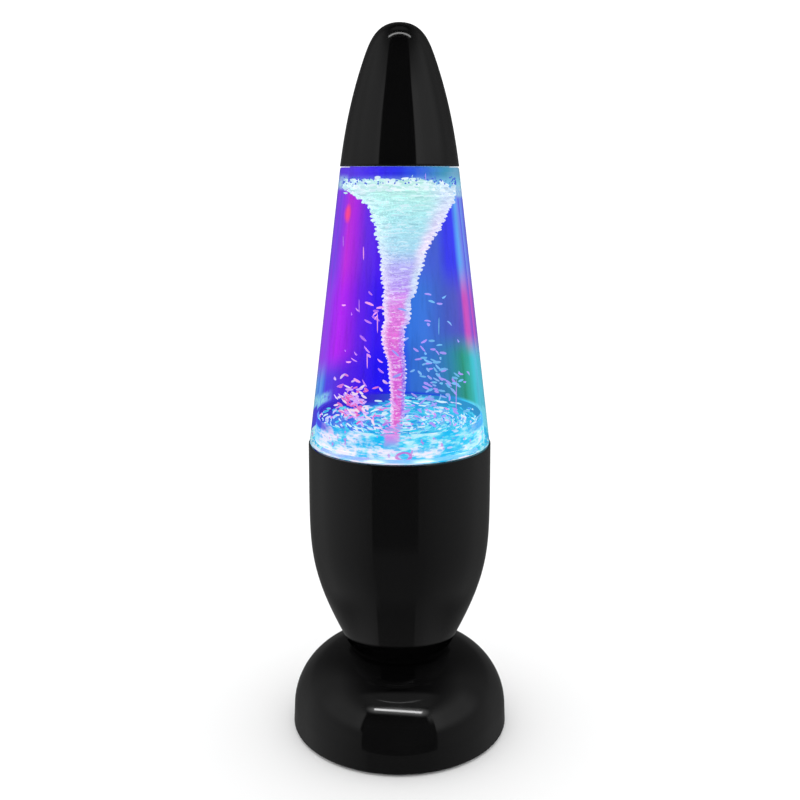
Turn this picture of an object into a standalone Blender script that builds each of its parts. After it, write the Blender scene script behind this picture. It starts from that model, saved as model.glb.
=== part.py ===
"""Desk vortex lamp: a clear liquid-filled bottle standing in a gloss black cup and dome, under a black cap.

A motor in the cup turns a magnet hub. The hub drags a magnetic impeller round inside the sealed bottle, and
the impeller spins the liquid and its glitter into a funnel. Six LEDs under a diffuser light the bottle.
Everything is drawn in millimetres about the lamp's vertical axis, with the table top at z = 0, the front
at -Y and the switch and inlet at +Y. Outlines are lists of (radius, height) points.
"""
import math

import bmesh
import bpy
from mathutils import Matrix, Vector

MM = 0.001
GAP = 0.3                       # clearance kept between touching pieces
ROUND = 32                      # sides of the large turned shells
MEDIUM = 16                     # sides of turned pieces hidden inside
SMALL = 10                      # sides of screws, pins and holes

# Driving dimensions of the outside.
BASE_RADIUS = 52.5
LAMP_HEIGHT = 328.6
SEAT_HEIGHT = 40.2              # flat top of the dome, where the cup is screwed on
RIM_HEIGHT = 143.1              # top of the cup
RIM_RADIUS = 42.6
CAP_EDGE = 268.3                # lower edge of the cap
CAP_RADIUS = 26.35
WALL = 2.2                      # wall of the moulded black shells
GLASS = 1.6                     # wall of the clear bottle

# Base plate and battery compartment.
FOOT_HEIGHT = 1.0
PLATE_BOTTOM = 1.6
PLATE_TOP = 4.4
CELL_RADIUS = 7.15
CELL_PITCH = 15.2
BAY_FRONT = -30.0
BAY_BACK = 17.2
BAY_HALF_WIDTH = 28.5
BAY_ROOF = 19.0
BAY_WALL = 1.5
DOOR_HINGE_Y = 15.2
DOOR_HINGE_Z = 3.0
WIRE_HOLE = 6.0

# Control board at the back of the dome.
BOARD_Z = 7.6
BOARD_THICKNESS = 1.6
INLET_X = -8.5
BUTTON_X = 8.5
BUTTON_Z = 13.2
BUTTON_RADIUS = 3.4

# Drive inside the cup.
POST_RADIUS = 3.4
POST_CIRCLE = 18.0
CUP_SCREW_CIRCLE = 15.5
MOUNT_Z = 98.2
MOUNT_THICKNESS = 2.4
MOTOR_RADIUS = 12.0
MOTOR_TOP = 126.0
SHAFT_RADIUS = 1.0
HUB_Z = 129.0
HUB_TOP = 133.2
MAGNET_RADIUS = 3.0
MAGNET_THICKNESS = 2.3
MAGNET_CIRCLE = 6.6
LED_BOARD_Z = 122.0
LED_CIRCLE = 25.0
LED_COUNT = 6
DIFFUSER_Z = 136.6

# Bottle, its contents and its stopper.
SPIGOT_BOTTOM = 134.2
SPIGOT_RADIUS = 39.8
BOTTLE_BOTTOM_RADIUS = 42.1
SHOULDER = CAP_EDGE - GAP
NECK_RADIUS = 22.0
NECK_TOP = 280.0
LEDGE = 144.7
TANK_FLOOR = 148.0
CORNER_TOP = 157.2              # where the rounded corner of the floor meets the wall
CORNER_RADIUS = CORNER_TOP - TANK_FLOOR
WELL_RADIUS = 10.6
WELL_FLOOR = 136.6
WELL_WALL = 1.8
LIQUID_TOP = 266.0


# ---- drawing tools -------------------------------------------------------------------------------------

def material(name, colour, roughness, metallic=0.0, transmission=0.0, alpha=1.0):
    """A Principled material with one colour."""
    made = bpy.data.materials.new(name)
    made.use_nodes = True
    shader = made.node_tree.nodes["Principled BSDF"]
    shader.inputs["Base Color"].default_value = (*colour, 1.0)
    shader.inputs["Roughness"].default_value = roughness
    shader.inputs["Metallic"].default_value = metallic
    shader.inputs["Transmission Weight"].default_value = transmission
    shader.inputs["Alpha"].default_value = alpha
    made.diffuse_color = (*colour, 1.0)
    return made


def add_object(name, bm, finish, at=(0.0, 0.0, 0.0), smooth=True):
    """Close a bmesh drawn in millimetres into a named object whose origin is at a point of the lamp."""
    bmesh.ops.translate(bm, verts=bm.verts, vec=-Vector(at))
    bmesh.ops.scale(bm, verts=bm.verts, vec=(MM, MM, MM))
    bmesh.ops.recalc_face_normals(bm, faces=bm.faces)
    mesh = bpy.data.meshes.new(name)
    bm.to_mesh(mesh)
    bm.free()
    if smooth:
        mesh.shade_smooth()
        mesh.set_sharp_from_angle(angle=math.radians(35))
    made = bpy.data.objects.new(name, mesh)
    made.location = Vector(at) * MM
    bpy.context.scene.collection.objects.link(made)
    if finish is not None:
        mesh.materials.append(material(name, *finish))
    return made


def turned_mesh(outline, sides):
    """Spin (radius, height) points about the vertical axis. An outline off the axis is closed first."""
    closed = outline[0][0] > 0 or outline[-1][0] > 0
    bm = bmesh.new()
    verts = [bm.verts.new((radius, 0.0, height)) for radius, height in outline]
    edges = [bm.edges.new(pair) for pair in zip(verts, verts[1:])]
    if closed:
        edges.append(bm.edges.new((verts[-1], verts[0])))
    bmesh.ops.spin(bm, geom=verts + edges, cent=(0, 0, 0), axis=(0, 0, 1), angle=math.tau,
                   steps=sides, use_merge=True)
    bmesh.ops.remove_doubles(bm, verts=bm.verts, dist=0.0001)
    return bm


def turned(name, outline, finish, sides=MEDIUM, centre=(0.0, 0.0)):
    """A turned piece on a vertical axis: a solid if its outline starts and ends there, or else a ring."""
    bm = turned_mesh(outline, sides)
    bmesh.ops.translate(bm, verts=bm.verts, vec=(*centre, 0.0))
    return add_object(name, bm, finish, (*centre, 0.0))


def rod(radius, bottom, top):
    """Outline of a plain cylinder."""
    return [(0, bottom), (radius, bottom), (radius, top), (0, top)]


def ring(inner, outer, bottom, top):
    """Outline of a plain ring."""
    return [(inner, bottom), (outer, bottom), (outer, top), (inner, top)]


def block(name, low, high, finish, bevel=0.0, at=(0.0, 0.0, 0.0)):
    """A box between two corners, with its edges bevelled."""
    bm = bmesh.new()
    size = Vector(high) - Vector(low)
    middle = (Vector(high) + Vector(low)) / 2
    matrix = Matrix.Translation(middle) @ Matrix.Diagonal((*size, 1.0))
    bmesh.ops.create_cube(bm, size=1.0, matrix=matrix)
    if bevel:
        bmesh.ops.bevel(bm, geom=bm.edges[:], offset=bevel, segments=1, affect="EDGES")
    return add_object(name, bm, finish, at, smooth=False)


def combine(target, tool, operation):
    """Cut a tool out of a piece, or join it to the piece."""
    tool.hide_render = True
    tool.display_type = "WIRE"
    modifier = target.modifiers.new(tool.name, "BOOLEAN")
    modifier.operation = operation
    modifier.solver = "EXACT"
    modifier.object = tool


def cut(target, tool):
    combine(target, tool, "DIFFERENCE")


def join(target, tool):
    combine(target, tool, "UNION")


def along_y(name, outline, finish, x, z, sides=SMALL, at=None):
    """A turned piece whose axis runs along +Y; outline heights are Y positions."""
    bm = turned_mesh(outline, sides)
    matrix = Matrix.Translation((x, 0, z)) @ Matrix.Rotation(-math.pi / 2, 4, "X")
    bmesh.ops.transform(bm, matrix=matrix, verts=bm.verts)
    return add_object(name, bm, finish, at or (x, 0.0, z))


def along_x(name, outline, finish, y, z, sides=SMALL):
    """A turned piece whose axis runs along +X; outline heights are X positions."""
    bm = turned_mesh(outline, sides)
    matrix = Matrix.Translation((0, y, z)) @ Matrix.Rotation(math.pi / 2, 4, "Y")
    bmesh.ops.transform(bm, matrix=matrix, verts=bm.verts)
    return add_object(name, bm, finish, (0.0, y, z))


def bezier(start, handle_a, handle_b, end, steps):
    """Points of a cubic curve, without its first point."""
    points = []
    for step in range(1, steps + 1):
        t = step / steps
        weights = ((1 - t) ** 3, 3 * t * (1 - t) ** 2, 3 * t * t * (1 - t), t ** 3)
        corners = (start, handle_a, handle_b, end)
        points.append(tuple(sum(w * p[axis] for w, p in zip(weights, corners)) for axis in (0, 1)))
    return points


def bored(radius, bore, bottom, depth, top):
    """Outline of a post with a screw bore running down from one end to a depth."""
    return [(0, bottom), (radius, bottom), (radius, top), (bore, top), (bore, depth), (0, depth)]


def on_circle(radius, degrees):
    angle = math.radians(degrees)
    return (radius * math.cos(angle), radius * math.sin(angle))


def smooth_path(points, steps):
    """A Catmull-Rom curve through the points."""
    knots = [Vector(p) for p in points]
    knots = [2 * knots[0] - knots[1]] + knots + [2 * knots[-1] - knots[-2]]
    path = [knots[1]]
    for a, b, c, d in zip(knots, knots[1:], knots[2:], knots[3:]):
        for step in range(1, steps + 1):
            t = step / steps
            bend = (2 * a - 5 * b + 4 * c - d) * t * t + (3 * b - a - 3 * c + d) * t ** 3
            path.append((2 * b + (c - a) * t + bend) / 2)
    return path


def wire(name, path, radius, finish, resolution=1):
    """A round wire along a list of points."""
    curve = bpy.data.curves.new(name, "CURVE")
    curve.dimensions = "3D"
    curve.bevel_depth = radius * MM
    curve.bevel_resolution = resolution
    curve.render_resolution_u = 0
    curve.use_fill_caps = True
    spline = curve.splines.new("POLY")
    spline.points.add(len(path) - 1)
    for point, place in zip(spline.points, path):
        point.co = (*(Vector(place) * MM), 1.0)
    curve.materials.append(material(name, *finish))
    made = bpy.data.objects.new(name, curve)
    bpy.context.scene.collection.objects.link(made)
    return made


# ---- finishes: colour, roughness, metallic, transmission, alpha ------------------------------------------

GLOSS_BLACK = ((0.012, 0.012, 0.013), 0.12)
INNER_BLACK = ((0.02, 0.02, 0.022), 0.45)
RUBBER = ((0.03, 0.03, 0.03), 0.85)
SCREW_STEEL = ((0.55, 0.55, 0.57), 0.35, 1.0)
SPRING_STEEL = ((0.7, 0.7, 0.72), 0.25, 1.0)
MOTOR_STEEL = ((0.6, 0.6, 0.62), 0.3, 1.0)
MAGNET = ((0.45, 0.45, 0.47), 0.25, 1.0)
BOARD_GREEN = ((0.02, 0.16, 0.06), 0.4)
BOARD_WHITE = ((0.8, 0.8, 0.78), 0.4)
WHITE_PLASTIC = ((0.82, 0.82, 0.8), 0.5)
CLEAR = ((0.85, 0.9, 1.0), 0.05, 0.0, 1.0, 0.35)
LIQUID = ((0.22, 0.15, 0.95), 0.05, 0.0, 0.8, 0.5)
GLITTER = ((0.9, 0.6, 0.95), 0.3)
CELL_JACKET = ((0.1, 0.3, 0.2), 0.35)


# ---- outlines of the outside -----------------------------------------------------------------------------

def dome_radius(height, wall):
    """Radius of the dome at a height: a rounded shoulder that runs in to a nearly flat top."""
    straight_top = 9.15
    crown = 32.9 - 1.15 * wall
    outer = BASE_RADIUS - 0.45 - wall
    inner = 8.35 - wall
    if height <= straight_top:
        return outer + (straight_top - height) * 0.055
    rise = min((height - straight_top) / crown, 1.0)
    return inner + (outer - inner) * (1 - rise ** 1.92) ** (1 / 2.51)


def dome_outline():
    """Dome shell with an open bottom and a hole for the wires in its flat top."""
    shoulder = 9.15
    ceiling = SEAT_HEIGHT - WALL - 0.2
    heights = [FOOT_HEIGHT + 0.4, shoulder]
    heights += [shoulder + (SEAT_HEIGHT - shoulder) * math.sin(math.radians(a)) for a in range(15, 91, 15)]
    outer = [(dome_radius(FOOT_HEIGHT, 0) - 0.5, FOOT_HEIGHT)]
    outer += [(dome_radius(height, 0), height) for height in heights]
    inner = [(WIRE_HOLE, SEAT_HEIGHT), (WIRE_HOLE, ceiling), (dome_radius(ceiling, WALL), ceiling)]
    inner += [(dome_radius(height, WALL), height) for height in (34.0, 27.0, 17.0, shoulder)]
    inner.append((dome_radius(FOOT_HEIGHT, WALL), FOOT_HEIGHT))
    return outer + inner


def cup_side(wall, bottom, steps):
    """Side of the cup from the top of its curve down to its floor."""
    start = (42.8 - wall, 118.5)
    end = (24.2 - wall * 0.8, bottom)
    return [start] + bezier(start, (start[0], 89.2), (end[0] + 18.9, end[1] + 37.1), end, steps)


def cup_outline():
    """Cup shell: open rim, narrow floor with a hole for the wires."""
    floor = SEAT_HEIGHT + GAP
    inside = floor + WALL + 0.5
    outer = [(RIM_RADIUS - 0.5, RIM_HEIGHT), (RIM_RADIUS, RIM_HEIGHT - 0.5)]
    outer += cup_side(0, floor + 0.5, 8)
    outer += [(23.5, floor), (WIRE_HOLE, floor), (WIRE_HOLE, inside)]
    inner = list(reversed(cup_side(WALL, inside, 4)))
    return outer + inner + [(RIM_RADIUS - WALL, RIM_HEIGHT)]


def cap_curve(wall):
    """Outer or inner face of the cap, from its open edge up to the axis."""
    start = (CAP_RADIUS - wall, CAP_EDGE)
    bend = (15.1 - wall * 0.95, 315.0 - wall * 0.3)
    top = (0.0, LAMP_HEIGHT - wall)
    side = bezier(start, (24.15 - wall, 284.0), (20.95 - wall, 299.2), bend, 6 if not wall else 3)
    handle = (12.7 - wall * 0.9, 321.3 - wall * 0.5)
    nose = bezier(bend, handle, (9.66 - wall * 0.6, top[1]), top, 5 if not wall else 3)
    return [start] + side + nose


def bottle_radius(height):
    """Outer radius of the bottle's straight cone."""
    lower, upper = RIM_HEIGHT, CAP_EDGE
    taper = (BOTTLE_BOTTOM_RADIUS - 26.2) / (upper - lower)
    return BOTTLE_BOTTOM_RADIUS - (height - lower) * taper


def tank_radius(height):
    """Inner radius of the bottle."""
    return bottle_radius(height) - GLASS


def floor_corner(gap):
    """Rounded corner of the bottle's floor, from the wall down and in, moved inwards by a gap."""
    centre = tank_radius(CORNER_TOP) - 1.2 - CORNER_RADIUS
    radius = CORNER_RADIUS - gap
    angles = [math.radians(degrees) for degrees in (0, 22, 45, 68, 90)]
    return [(centre + radius * math.cos(a), CORNER_TOP - radius * math.sin(a)) for a in angles]


# ---- base ------------------------------------------------------------------------------------------------

PLATE_SCREW_ANGLES = (-90, 30, 150)
PLATE_SCREW_CIRCLE = 42.0
FOOT_ANGLES = (55, 125, 235, 305)
FOOT_CIRCLE = 43.0
CUP_SCREW_ANGLES = (90, 210, 330)
POST_ANGLES = (30, 150, 270)


def make_dome():
    dome = turned("dome_base", dome_outline(), GLOSS_BLACK, ROUND)
    for number, angle in enumerate(PLATE_SCREW_ANGLES):
        place = on_circle(PLATE_SCREW_CIRCLE, angle)
        outline = bored(3.6, 1.6, 23.5, 15.0, PLATE_TOP + GAP)
        join(dome, turned(f"boss_{number}", outline, None, SMALL, place))
    for number, angle in enumerate(CUP_SCREW_ANGLES):
        place = on_circle(CUP_SCREW_CIRCLE, angle)
        cut(dome, turned(f"seat_hole_{number}", rod(1.9, 30.0, 45.0), None, SMALL, place))
    inlet_low = (INLET_X - 4.3, 44.0, 9.0)
    inlet_high = (INLET_X + 4.3, 56.0, 13.0)
    cut(dome, block("inlet_hole", inlet_low, inlet_high, None))
    hole = rod(BUTTON_RADIUS + 0.4, 44.0, 56.0)
    cut(dome, along_y("button_hole", hole, None, BUTTON_X, BUTTON_Z, 20))


def screw_outline(head_radius, head_height, shaft_radius, length):
    """A screw standing head down, from z = 0, with its point up."""
    return [(0, 0), (head_radius * 0.8, 0), (head_radius, head_height * 0.4), (head_radius, head_height),
            (shaft_radius, head_height), (shaft_radius, length - 1), (0, length)]


def make_screw(name, place, height, upward, head_radius, shaft_radius, length):
    """A screw whose head starts at a height and whose shaft points up or down."""
    head_height = head_radius * 0.65
    sign = 1 if upward else -1
    outline = screw_outline(head_radius, head_height, shaft_radius, length)
    screw = turned(name, [(r, height + sign * z) for r, z in outline], SCREW_STEEL, SMALL, place)
    recess = sorted((height - sign, height + sign * head_height * 0.6))
    cut(screw, turned(name + "_socket", rod(head_radius * 0.45, *recess), None, 6, place))


def make_base_screws():
    for number, angle in enumerate(CUP_SCREW_ANGLES, 1):
        place = on_circle(CUP_SCREW_CIRCLE, angle)
        make_screw(f"cup_screw_{number}", place, 35.3, True, 3.2, 1.4, 13.0)
    for number, angle in enumerate(PLATE_SCREW_ANGLES, 1):
        place = on_circle(PLATE_SCREW_CIRCLE, angle)
        make_screw(f"plate_screw_{number}", place, PLATE_BOTTOM + 0.3, True, 2.6, 1.2, 10.5)
    for number, angle in enumerate(POST_ANGLES, 1):
        place = on_circle(POST_CIRCLE, angle)
        top = MOUNT_Z + MOUNT_THICKNESS + GAP + 1.8
        make_screw(f"mount_screw_{number}", place, top, False, 2.7, 1.1, 13.0)


def make_base_plate():
    plate = turned("base_plate", rod(49.3, PLATE_BOTTOM, PLATE_TOP), INNER_BLACK, ROUND)
    x, wall = BAY_HALF_WIDTH, BAY_WALL
    outside = ((-x - wall, BAY_FRONT - wall, PLATE_TOP - 1), (x + wall, BAY_BACK + wall, BAY_ROOF + wall))
    join(plate, block("bay_outside", *outside, None))
    cut(plate, block("bay_inside", (-x, BAY_FRONT, 0.0), (x, BAY_BACK, BAY_ROOF), None))
    pin_hole = rod(1.15, -x - 1.0, x + 1.0)
    cut(plate, along_x("pin_hole", pin_hole, None, DOOR_HINGE_Y, DOOR_HINGE_Z))
    for number, side in enumerate((-1, 1)):
        post = rod(2.2, PLATE_TOP - 1, BOARD_Z - GAP)
        join(plate, turned(f"board_post_{number}", post, None, SMALL, (side * 11.0, 30.0)))
    for number, angle in enumerate(PLATE_SCREW_ANGLES):
        place = on_circle(PLATE_SCREW_CIRCLE, angle)
        head = PLATE_BOTTOM + 2.1
        recess = [(0, 0), (2.95, 0), (2.95, head), (1.6, head), (1.6, 6), (0, 6)]
        cut(plate, turned(f"plate_hole_{number}", recess, None, SMALL, place))
    for number, angle in enumerate(FOOT_ANGLES):
        place = on_circle(FOOT_CIRCLE, angle)
        recess = rod(5.3, 0.0, PLATE_BOTTOM + 1.0)
        cut(plate, turned(f"foot_recess_{number}", recess, None, 20, place))


def make_feet():
    outline = [(0, 0), (4.6, 0), (5.0, 0.4), (5.0, PLATE_BOTTOM + 0.7), (0, PLATE_BOTTOM + 0.7)]
    for number, angle in enumerate(FOOT_ANGLES, 1):
        turned(f"rubber_foot_{number}", outline, RUBBER, 20, on_circle(FOOT_CIRCLE, angle))


def make_battery_door():
    hinge = (0.0, DOOR_HINGE_Y, DOOR_HINGE_Z)
    x = BAY_HALF_WIDTH - 0.4
    low = (-x, BAY_FRONT + 0.4, PLATE_BOTTOM)
    high = (x, DOOR_HINGE_Y + 0.7, PLATE_BOTTOM + 1.8)
    door = block("battery_door", low, high, INNER_BLACK, 0.25, at=hinge)
    join(door, along_x("door_pin", rod(0.8, -x - 1.1, x + 1.1), None, DOOR_HINGE_Y, DOOR_HINGE_Z))
    grip = (10.0, BAY_FRONT + 2.4, PLATE_BOTTOM + 0.8)
    cut(door, block("finger_grip", (-10.0, BAY_FRONT - 1.0, 0.0), grip, None))


def coil_path(start, length, radius, turns, steps, y, z):
    """Centre line of a coil along X."""
    path = []
    for step in range(int(turns * steps) + 1):
        angle = math.tau * step / steps
        x = start + length * step / (turns * steps)
        path.append((x, y + radius * math.cos(angle), z + radius * math.sin(angle)))
    return path


def make_cells():
    """Three cells side by side, alternate ends forward, each between a flat contact and a spring."""
    middle = (BAY_FRONT + 16.5) / 2
    height = PLATE_BOTTOM + 2.45 + CELL_RADIUS
    for number in (1, 2, 3):
        y = middle + (number - 2) * CELL_PITCH
        sign = -1 if number == 2 else 1
        body = [(0, -22.0), (CELL_RADIUS - 0.6, -22.0), (CELL_RADIUS, -21.4), (CELL_RADIUS, 25.4),
                (CELL_RADIUS - 0.8, 26.0), (2.7, 26.0), (2.7, 27.0), (0, 27.0)]
        along_x(f"battery_cell_{number}", [(r, sign * x) for r, x in body], CELL_JACKET, y, height, 20)
        near, far = sorted((sign * 27.3, sign * 27.9))
        low, high = (near, y - 5.0, height - 5.0), (far, y + 5.0, height + 5.0)
        block(f"battery_contact_{number}", low, high, SPRING_STEEL)
        path = coil_path(sign * -22.8, sign * -4.8, 3.2, 3, 8, y, height)
        wire(f"battery_spring_{number}", path, 0.45, SPRING_STEEL, 0)


def make_controls():
    top = BOARD_Z + BOARD_THICKNESS + GAP
    block("control_board", (-15.0, 24.0, BOARD_Z), (15.0, 43.5, BOARD_Z + BOARD_THICKNESS), BOARD_GREEN)
    low = (BUTTON_X - 3.6, 36.0, top)
    block("power_switch", low, (BUTTON_X + 3.6, 43.4, top + 7.0), INNER_BLACK, 0.3)
    plunger = [(0, 45.0), (4.6, 45.0), (4.6, 46.2), (BUTTON_RADIUS, 46.2), (BUTTON_RADIUS, 51.8),
               (BUTTON_RADIUS - 0.5, 52.3), (0, 52.3)]
    along_y("power_button", plunger, GLOSS_BLACK, BUTTON_X, BUTTON_Z, 20, at=(BUTTON_X, 45.0, BUTTON_Z))
    middle = top + 1.5
    low, high = (INLET_X - 3.9, 40.0, top), (INLET_X + 3.9, 50.2, top + 3.0)
    shell = block("usb_inlet", low, high, SPRING_STEEL, 0.4)
    low = (INLET_X - 3.4, 44.0, middle - 1.0)
    cut(shell, block("inlet_mouth", low, (INLET_X + 3.4, 52.0, middle + 1.0), None))
    low = (INLET_X - 2.6, 43.5, middle - 0.35)
    join(shell, block("inlet_tongue", low, (INLET_X + 2.6, 49.2, middle + 0.35), None))


# ---- cup and drive ---------------------------------------------------------------------------------------

def make_cup():
    cup = turned("cup", cup_outline(), GLOSS_BLACK, ROUND)
    floor = SEAT_HEIGHT + GAP + 1.0
    for number, angle in enumerate(POST_ANGLES):
        place = on_circle(POST_CIRCLE, angle)
        outline = bored(POST_RADIUS, 1.5, floor, MOUNT_Z - 13, MOUNT_Z - GAP)
        join(cup, turned(f"post_{number}", outline, None, SMALL, place))
    for number, angle in enumerate(CUP_SCREW_ANGLES):
        place = on_circle(CUP_SCREW_CIRCLE, angle)
        join(cup, turned(f"cup_boss_{number}", rod(3.6, floor, 52.0), None, SMALL, place))
    for number, angle in enumerate(CUP_SCREW_ANGLES):
        place = on_circle(CUP_SCREW_CIRCLE, angle)
        cut(cup, turned(f"cup_bore_{number}", rod(1.8, 36.0, 50.0), None, SMALL, place))


def make_motor_mount():
    top = MOUNT_Z + MOUNT_THICKNESS
    plate = [(8.0, MOUNT_Z), (37.0, MOUNT_Z), (37.0, top), (14.0, top), (14.0, top + 8), (12.4, top + 8),
             (12.4, top), (8.0, top)]
    mount = turned("motor_mount", plate, INNER_BLACK, MEDIUM)
    for number, angle in enumerate(POST_ANGLES):
        post = rod(3.0, MOUNT_Z + 1, LED_BOARD_Z - GAP)
        join(mount, turned(f"led_post_{number}", post, None, SMALL, on_circle(30.0, angle)))
    for number, angle in enumerate(POST_ANGLES):
        hole = rod(1.5, MOUNT_Z - 5, top + 5)
        cut(mount, turned(f"mount_hole_{number}", hole, None, SMALL, on_circle(POST_CIRCLE, angle)))
    cut(mount, turned("lead_hole", rod(3.5, MOUNT_Z - 5, top + 5), None, SMALL, (0.0, 24.0)))


def make_motor():
    bottom = MOUNT_Z + MOUNT_THICKNESS + GAP
    can = [(0, bottom), (MOTOR_RADIUS - 0.8, bottom), (MOTOR_RADIUS, bottom + 0.8),
           (MOTOR_RADIUS, MOTOR_TOP - 0.8), (MOTOR_RADIUS - 0.8, MOTOR_TOP), (4.0, MOTOR_TOP),
           (4.0, MOTOR_TOP + 1.4), (SHAFT_RADIUS + GAP, MOTOR_TOP + 1.4),
           (SHAFT_RADIUS + GAP, MOTOR_TOP - 4), (0, MOTOR_TOP - 4)]
    motor = turned("motor", can, MOTOR_STEEL, MEDIUM)
    for number, side in enumerate((-1, 1)):
        low = (side * 5.0 - 1.0, -0.3, bottom - 2.2)
        join(motor, block(f"terminal_{number}", low, (side * 5.0 + 1.0, 0.3, bottom + 1), None))
    shaft = rod(SHAFT_RADIUS, MOTOR_TOP - 3.6, HUB_TOP - 0.2)
    turned("motor_shaft", shaft, SPRING_STEEL, SMALL)


def make_drive_hub():
    bore = SHAFT_RADIUS + GAP
    outline = [(bore, HUB_Z), (10.7, HUB_Z), (11.2, HUB_Z + 0.5), (11.2, HUB_TOP), (bore, HUB_TOP)]
    hub = turned("drive_hub", outline, WHITE_PLASTIC, MEDIUM)
    for number, side in enumerate((-1, 1), 1):
        place = (side * MAGNET_CIRCLE, 0.0)
        pocket = rod(MAGNET_RADIUS + GAP, HUB_TOP - MAGNET_THICKNESS - GAP, HUB_TOP + 2)
        cut(hub, turned(f"hub_pocket_{number}", pocket, None, 16, place))
        disc = rod(MAGNET_RADIUS, HUB_TOP - MAGNET_THICKNESS, HUB_TOP)
        turned(f"drive_magnet_{number}", disc, MAGNET, 16, place)


def make_lights():
    top = LED_BOARD_Z + BOARD_THICKNESS
    board = turned("led_board", ring(15.0, 36.3, LED_BOARD_Z, top), BOARD_WHITE, MEDIUM)
    cut(board, turned("led_lead_hole", rod(1.6, LED_BOARD_Z - 5, top + 5), None, SMALL, (0.0, 18.5)))
    foot = top + GAP
    lens = [(0, foot), (2.9, foot), (2.9, foot + 1), (2.45, foot + 1), (2.45, foot + 6)]
    lens += [(2.45 * math.cos(math.radians(a)), foot + 6 + 2.45 * math.sin(math.radians(a)))
             for a in (30, 60)]
    lens.append((0, foot + 8.45))
    for number in range(LED_COUNT):
        place = on_circle(LED_CIRCLE, 360 * number / LED_COUNT)
        turned(f"led_{number + 1}", lens, CLEAR, SMALL, place)
    rim = DIFFUSER_Z - GAP
    wall = [(34.6, foot), (36.9, foot), (36.9, rim), (35.7, rim), (35.7, foot + 1.2), (34.6, foot + 1.2)]
    turned("reflector", wall, WHITE_PLASTIC, ROUND)
    turned("diffuser", ring(13.0, 37.2, DIFFUSER_Z, DIFFUSER_Z + 1.4), WHITE_PLASTIC, ROUND)


def make_leads():
    """Two sleeved leads from the control board, up through the dome and the cup."""
    start = BOARD_Z + BOARD_THICKNESS + 1.6
    motor_route = [(-5.0, 31.0, start), (-5.0, 30.0, 22.0), (-3.5, 16.0, 31.0), (-2.6, 3.0, 38.0),
                   (-2.6, 2.0, 50.0), (-3.5, 1.0, 75.0), (-5.0, 2.0, 97.6)]
    wire("motor_leads", smooth_path(motor_route, 3), 1.1, INNER_BLACK)
    led_route = [(4.0, 31.0, start), (4.0, 30.0, 22.0), (3.5, 16.0, 31.0), (2.6, 3.0, 38.0),
                 (2.6, 3.0, 50.0), (2.0, 10.0, 75.0), (0.0, 23.0, 92.0), (0.0, 24.0, 105.0)]
    led_route.append((0.0, 19.5, 121.5))
    wire("led_leads", smooth_path(led_route, 3), 1.1, INNER_BLACK)


# ---- bottle ----------------------------------------------------------------------------------------------

def make_bottle():
    outer = [(SPIGOT_RADIUS - 1.4, SPIGOT_BOTTOM), (SPIGOT_RADIUS, SPIGOT_BOTTOM + 0.8),
             (SPIGOT_RADIUS, RIM_HEIGHT + GAP), (BOTTLE_BOTTOM_RADIUS, RIM_HEIGHT + GAP),
             (bottle_radius(205.0), 205.0), (bottle_radius(SHOULDER), SHOULDER), (NECK_RADIUS, SHOULDER),
             (NECK_RADIUS, NECK_TOP)]
    inner = [(NECK_RADIUS - GLASS, NECK_TOP), (NECK_RADIUS - GLASS, SHOULDER + 1.0),
             (tank_radius(LIQUID_TOP), LIQUID_TOP - 0.5), (tank_radius(LEDGE), LEDGE),
             (SPIGOT_RADIUS - 1.8, LEDGE), (SPIGOT_RADIUS - 1.8, SPIGOT_BOTTOM)]
    turned("bottle", outer + inner, CLEAR, ROUND)


def make_bottle_floor():
    """Clear plug in the bottle's foot, with the impeller's well in its middle and a seal at its rim."""
    bottom = LEDGE + GAP
    boss = WELL_RADIUS + WELL_WALL
    notch = SPIGOT_RADIUS - 1.4
    outline = [(0, WELL_FLOOR - WELL_WALL), (boss, WELL_FLOOR - WELL_WALL), (boss, bottom),
               (notch, bottom), (notch, bottom + 1.6), (tank_radius(bottom + 1.6) - 0.4, bottom + 1.6),
               (tank_radius(CORNER_TOP) - 0.4, CORNER_TOP)]
    outline += floor_corner(0.0)
    outline += [(WELL_RADIUS, TANK_FLOOR), (WELL_RADIUS, WELL_FLOOR), (0.9, WELL_FLOOR)]
    outline += [(0.9, WELL_FLOOR - 0.9), (0, WELL_FLOOR - 0.9)]
    turned("bottle_floor", outline, CLEAR, ROUND)
    turned("bottle_seal", ring(notch + 0.3, notch + 1.4, bottom, bottom + 1.3), RUBBER, ROUND)
    turned("impeller_pin", rod(0.6, WELL_FLOOR - 0.5, WELL_FLOOR + 9.0), SPRING_STEEL, SMALL)


def make_impeller():
    """Disc with six vanes that turns on the pin, over two magnets."""
    bottom = WELL_FLOOR + 0.8
    top = bottom + 3.6
    disc = turned("impeller", ring(1.1, 9.6, bottom, top), WHITE_PLASTIC, MEDIUM)
    join(disc, turned("impeller_boss", ring(1.1, 2.6, top - 1, top + 6), None, SMALL))
    for number in range(3):
        vane = block(f"vane_{number}", (2.0, -0.5, top - 1), (9.0, 0.5, top + 5), None)
        vane.rotation_euler.z = math.tau * number / 3
        join(disc, vane)
    for number, side in enumerate((-1, 1), 1):
        place = (0.0, side * 6.2)
        pocket = rod(2.5 + GAP, bottom - 2, bottom + 2.0)
        cut(disc, turned(f"impeller_pocket_{number}", pocket, None, 14, place))
        turned(f"impeller_magnet_{number}", rod(2.5, bottom, bottom + 1.7), MAGNET, 14, place)


def funnel_radius(height):
    """Radius of the glitter funnel: a narrow rope low down that flares out under the liquid's surface."""
    low, high = TANK_FLOOR + 2.0, LIQUID_TOP - 4.0
    rise = (height - low) / (high - low)
    return 2.6 + 4.2 * rise + 15.0 * max(rise, 0.0) ** 5


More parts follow.
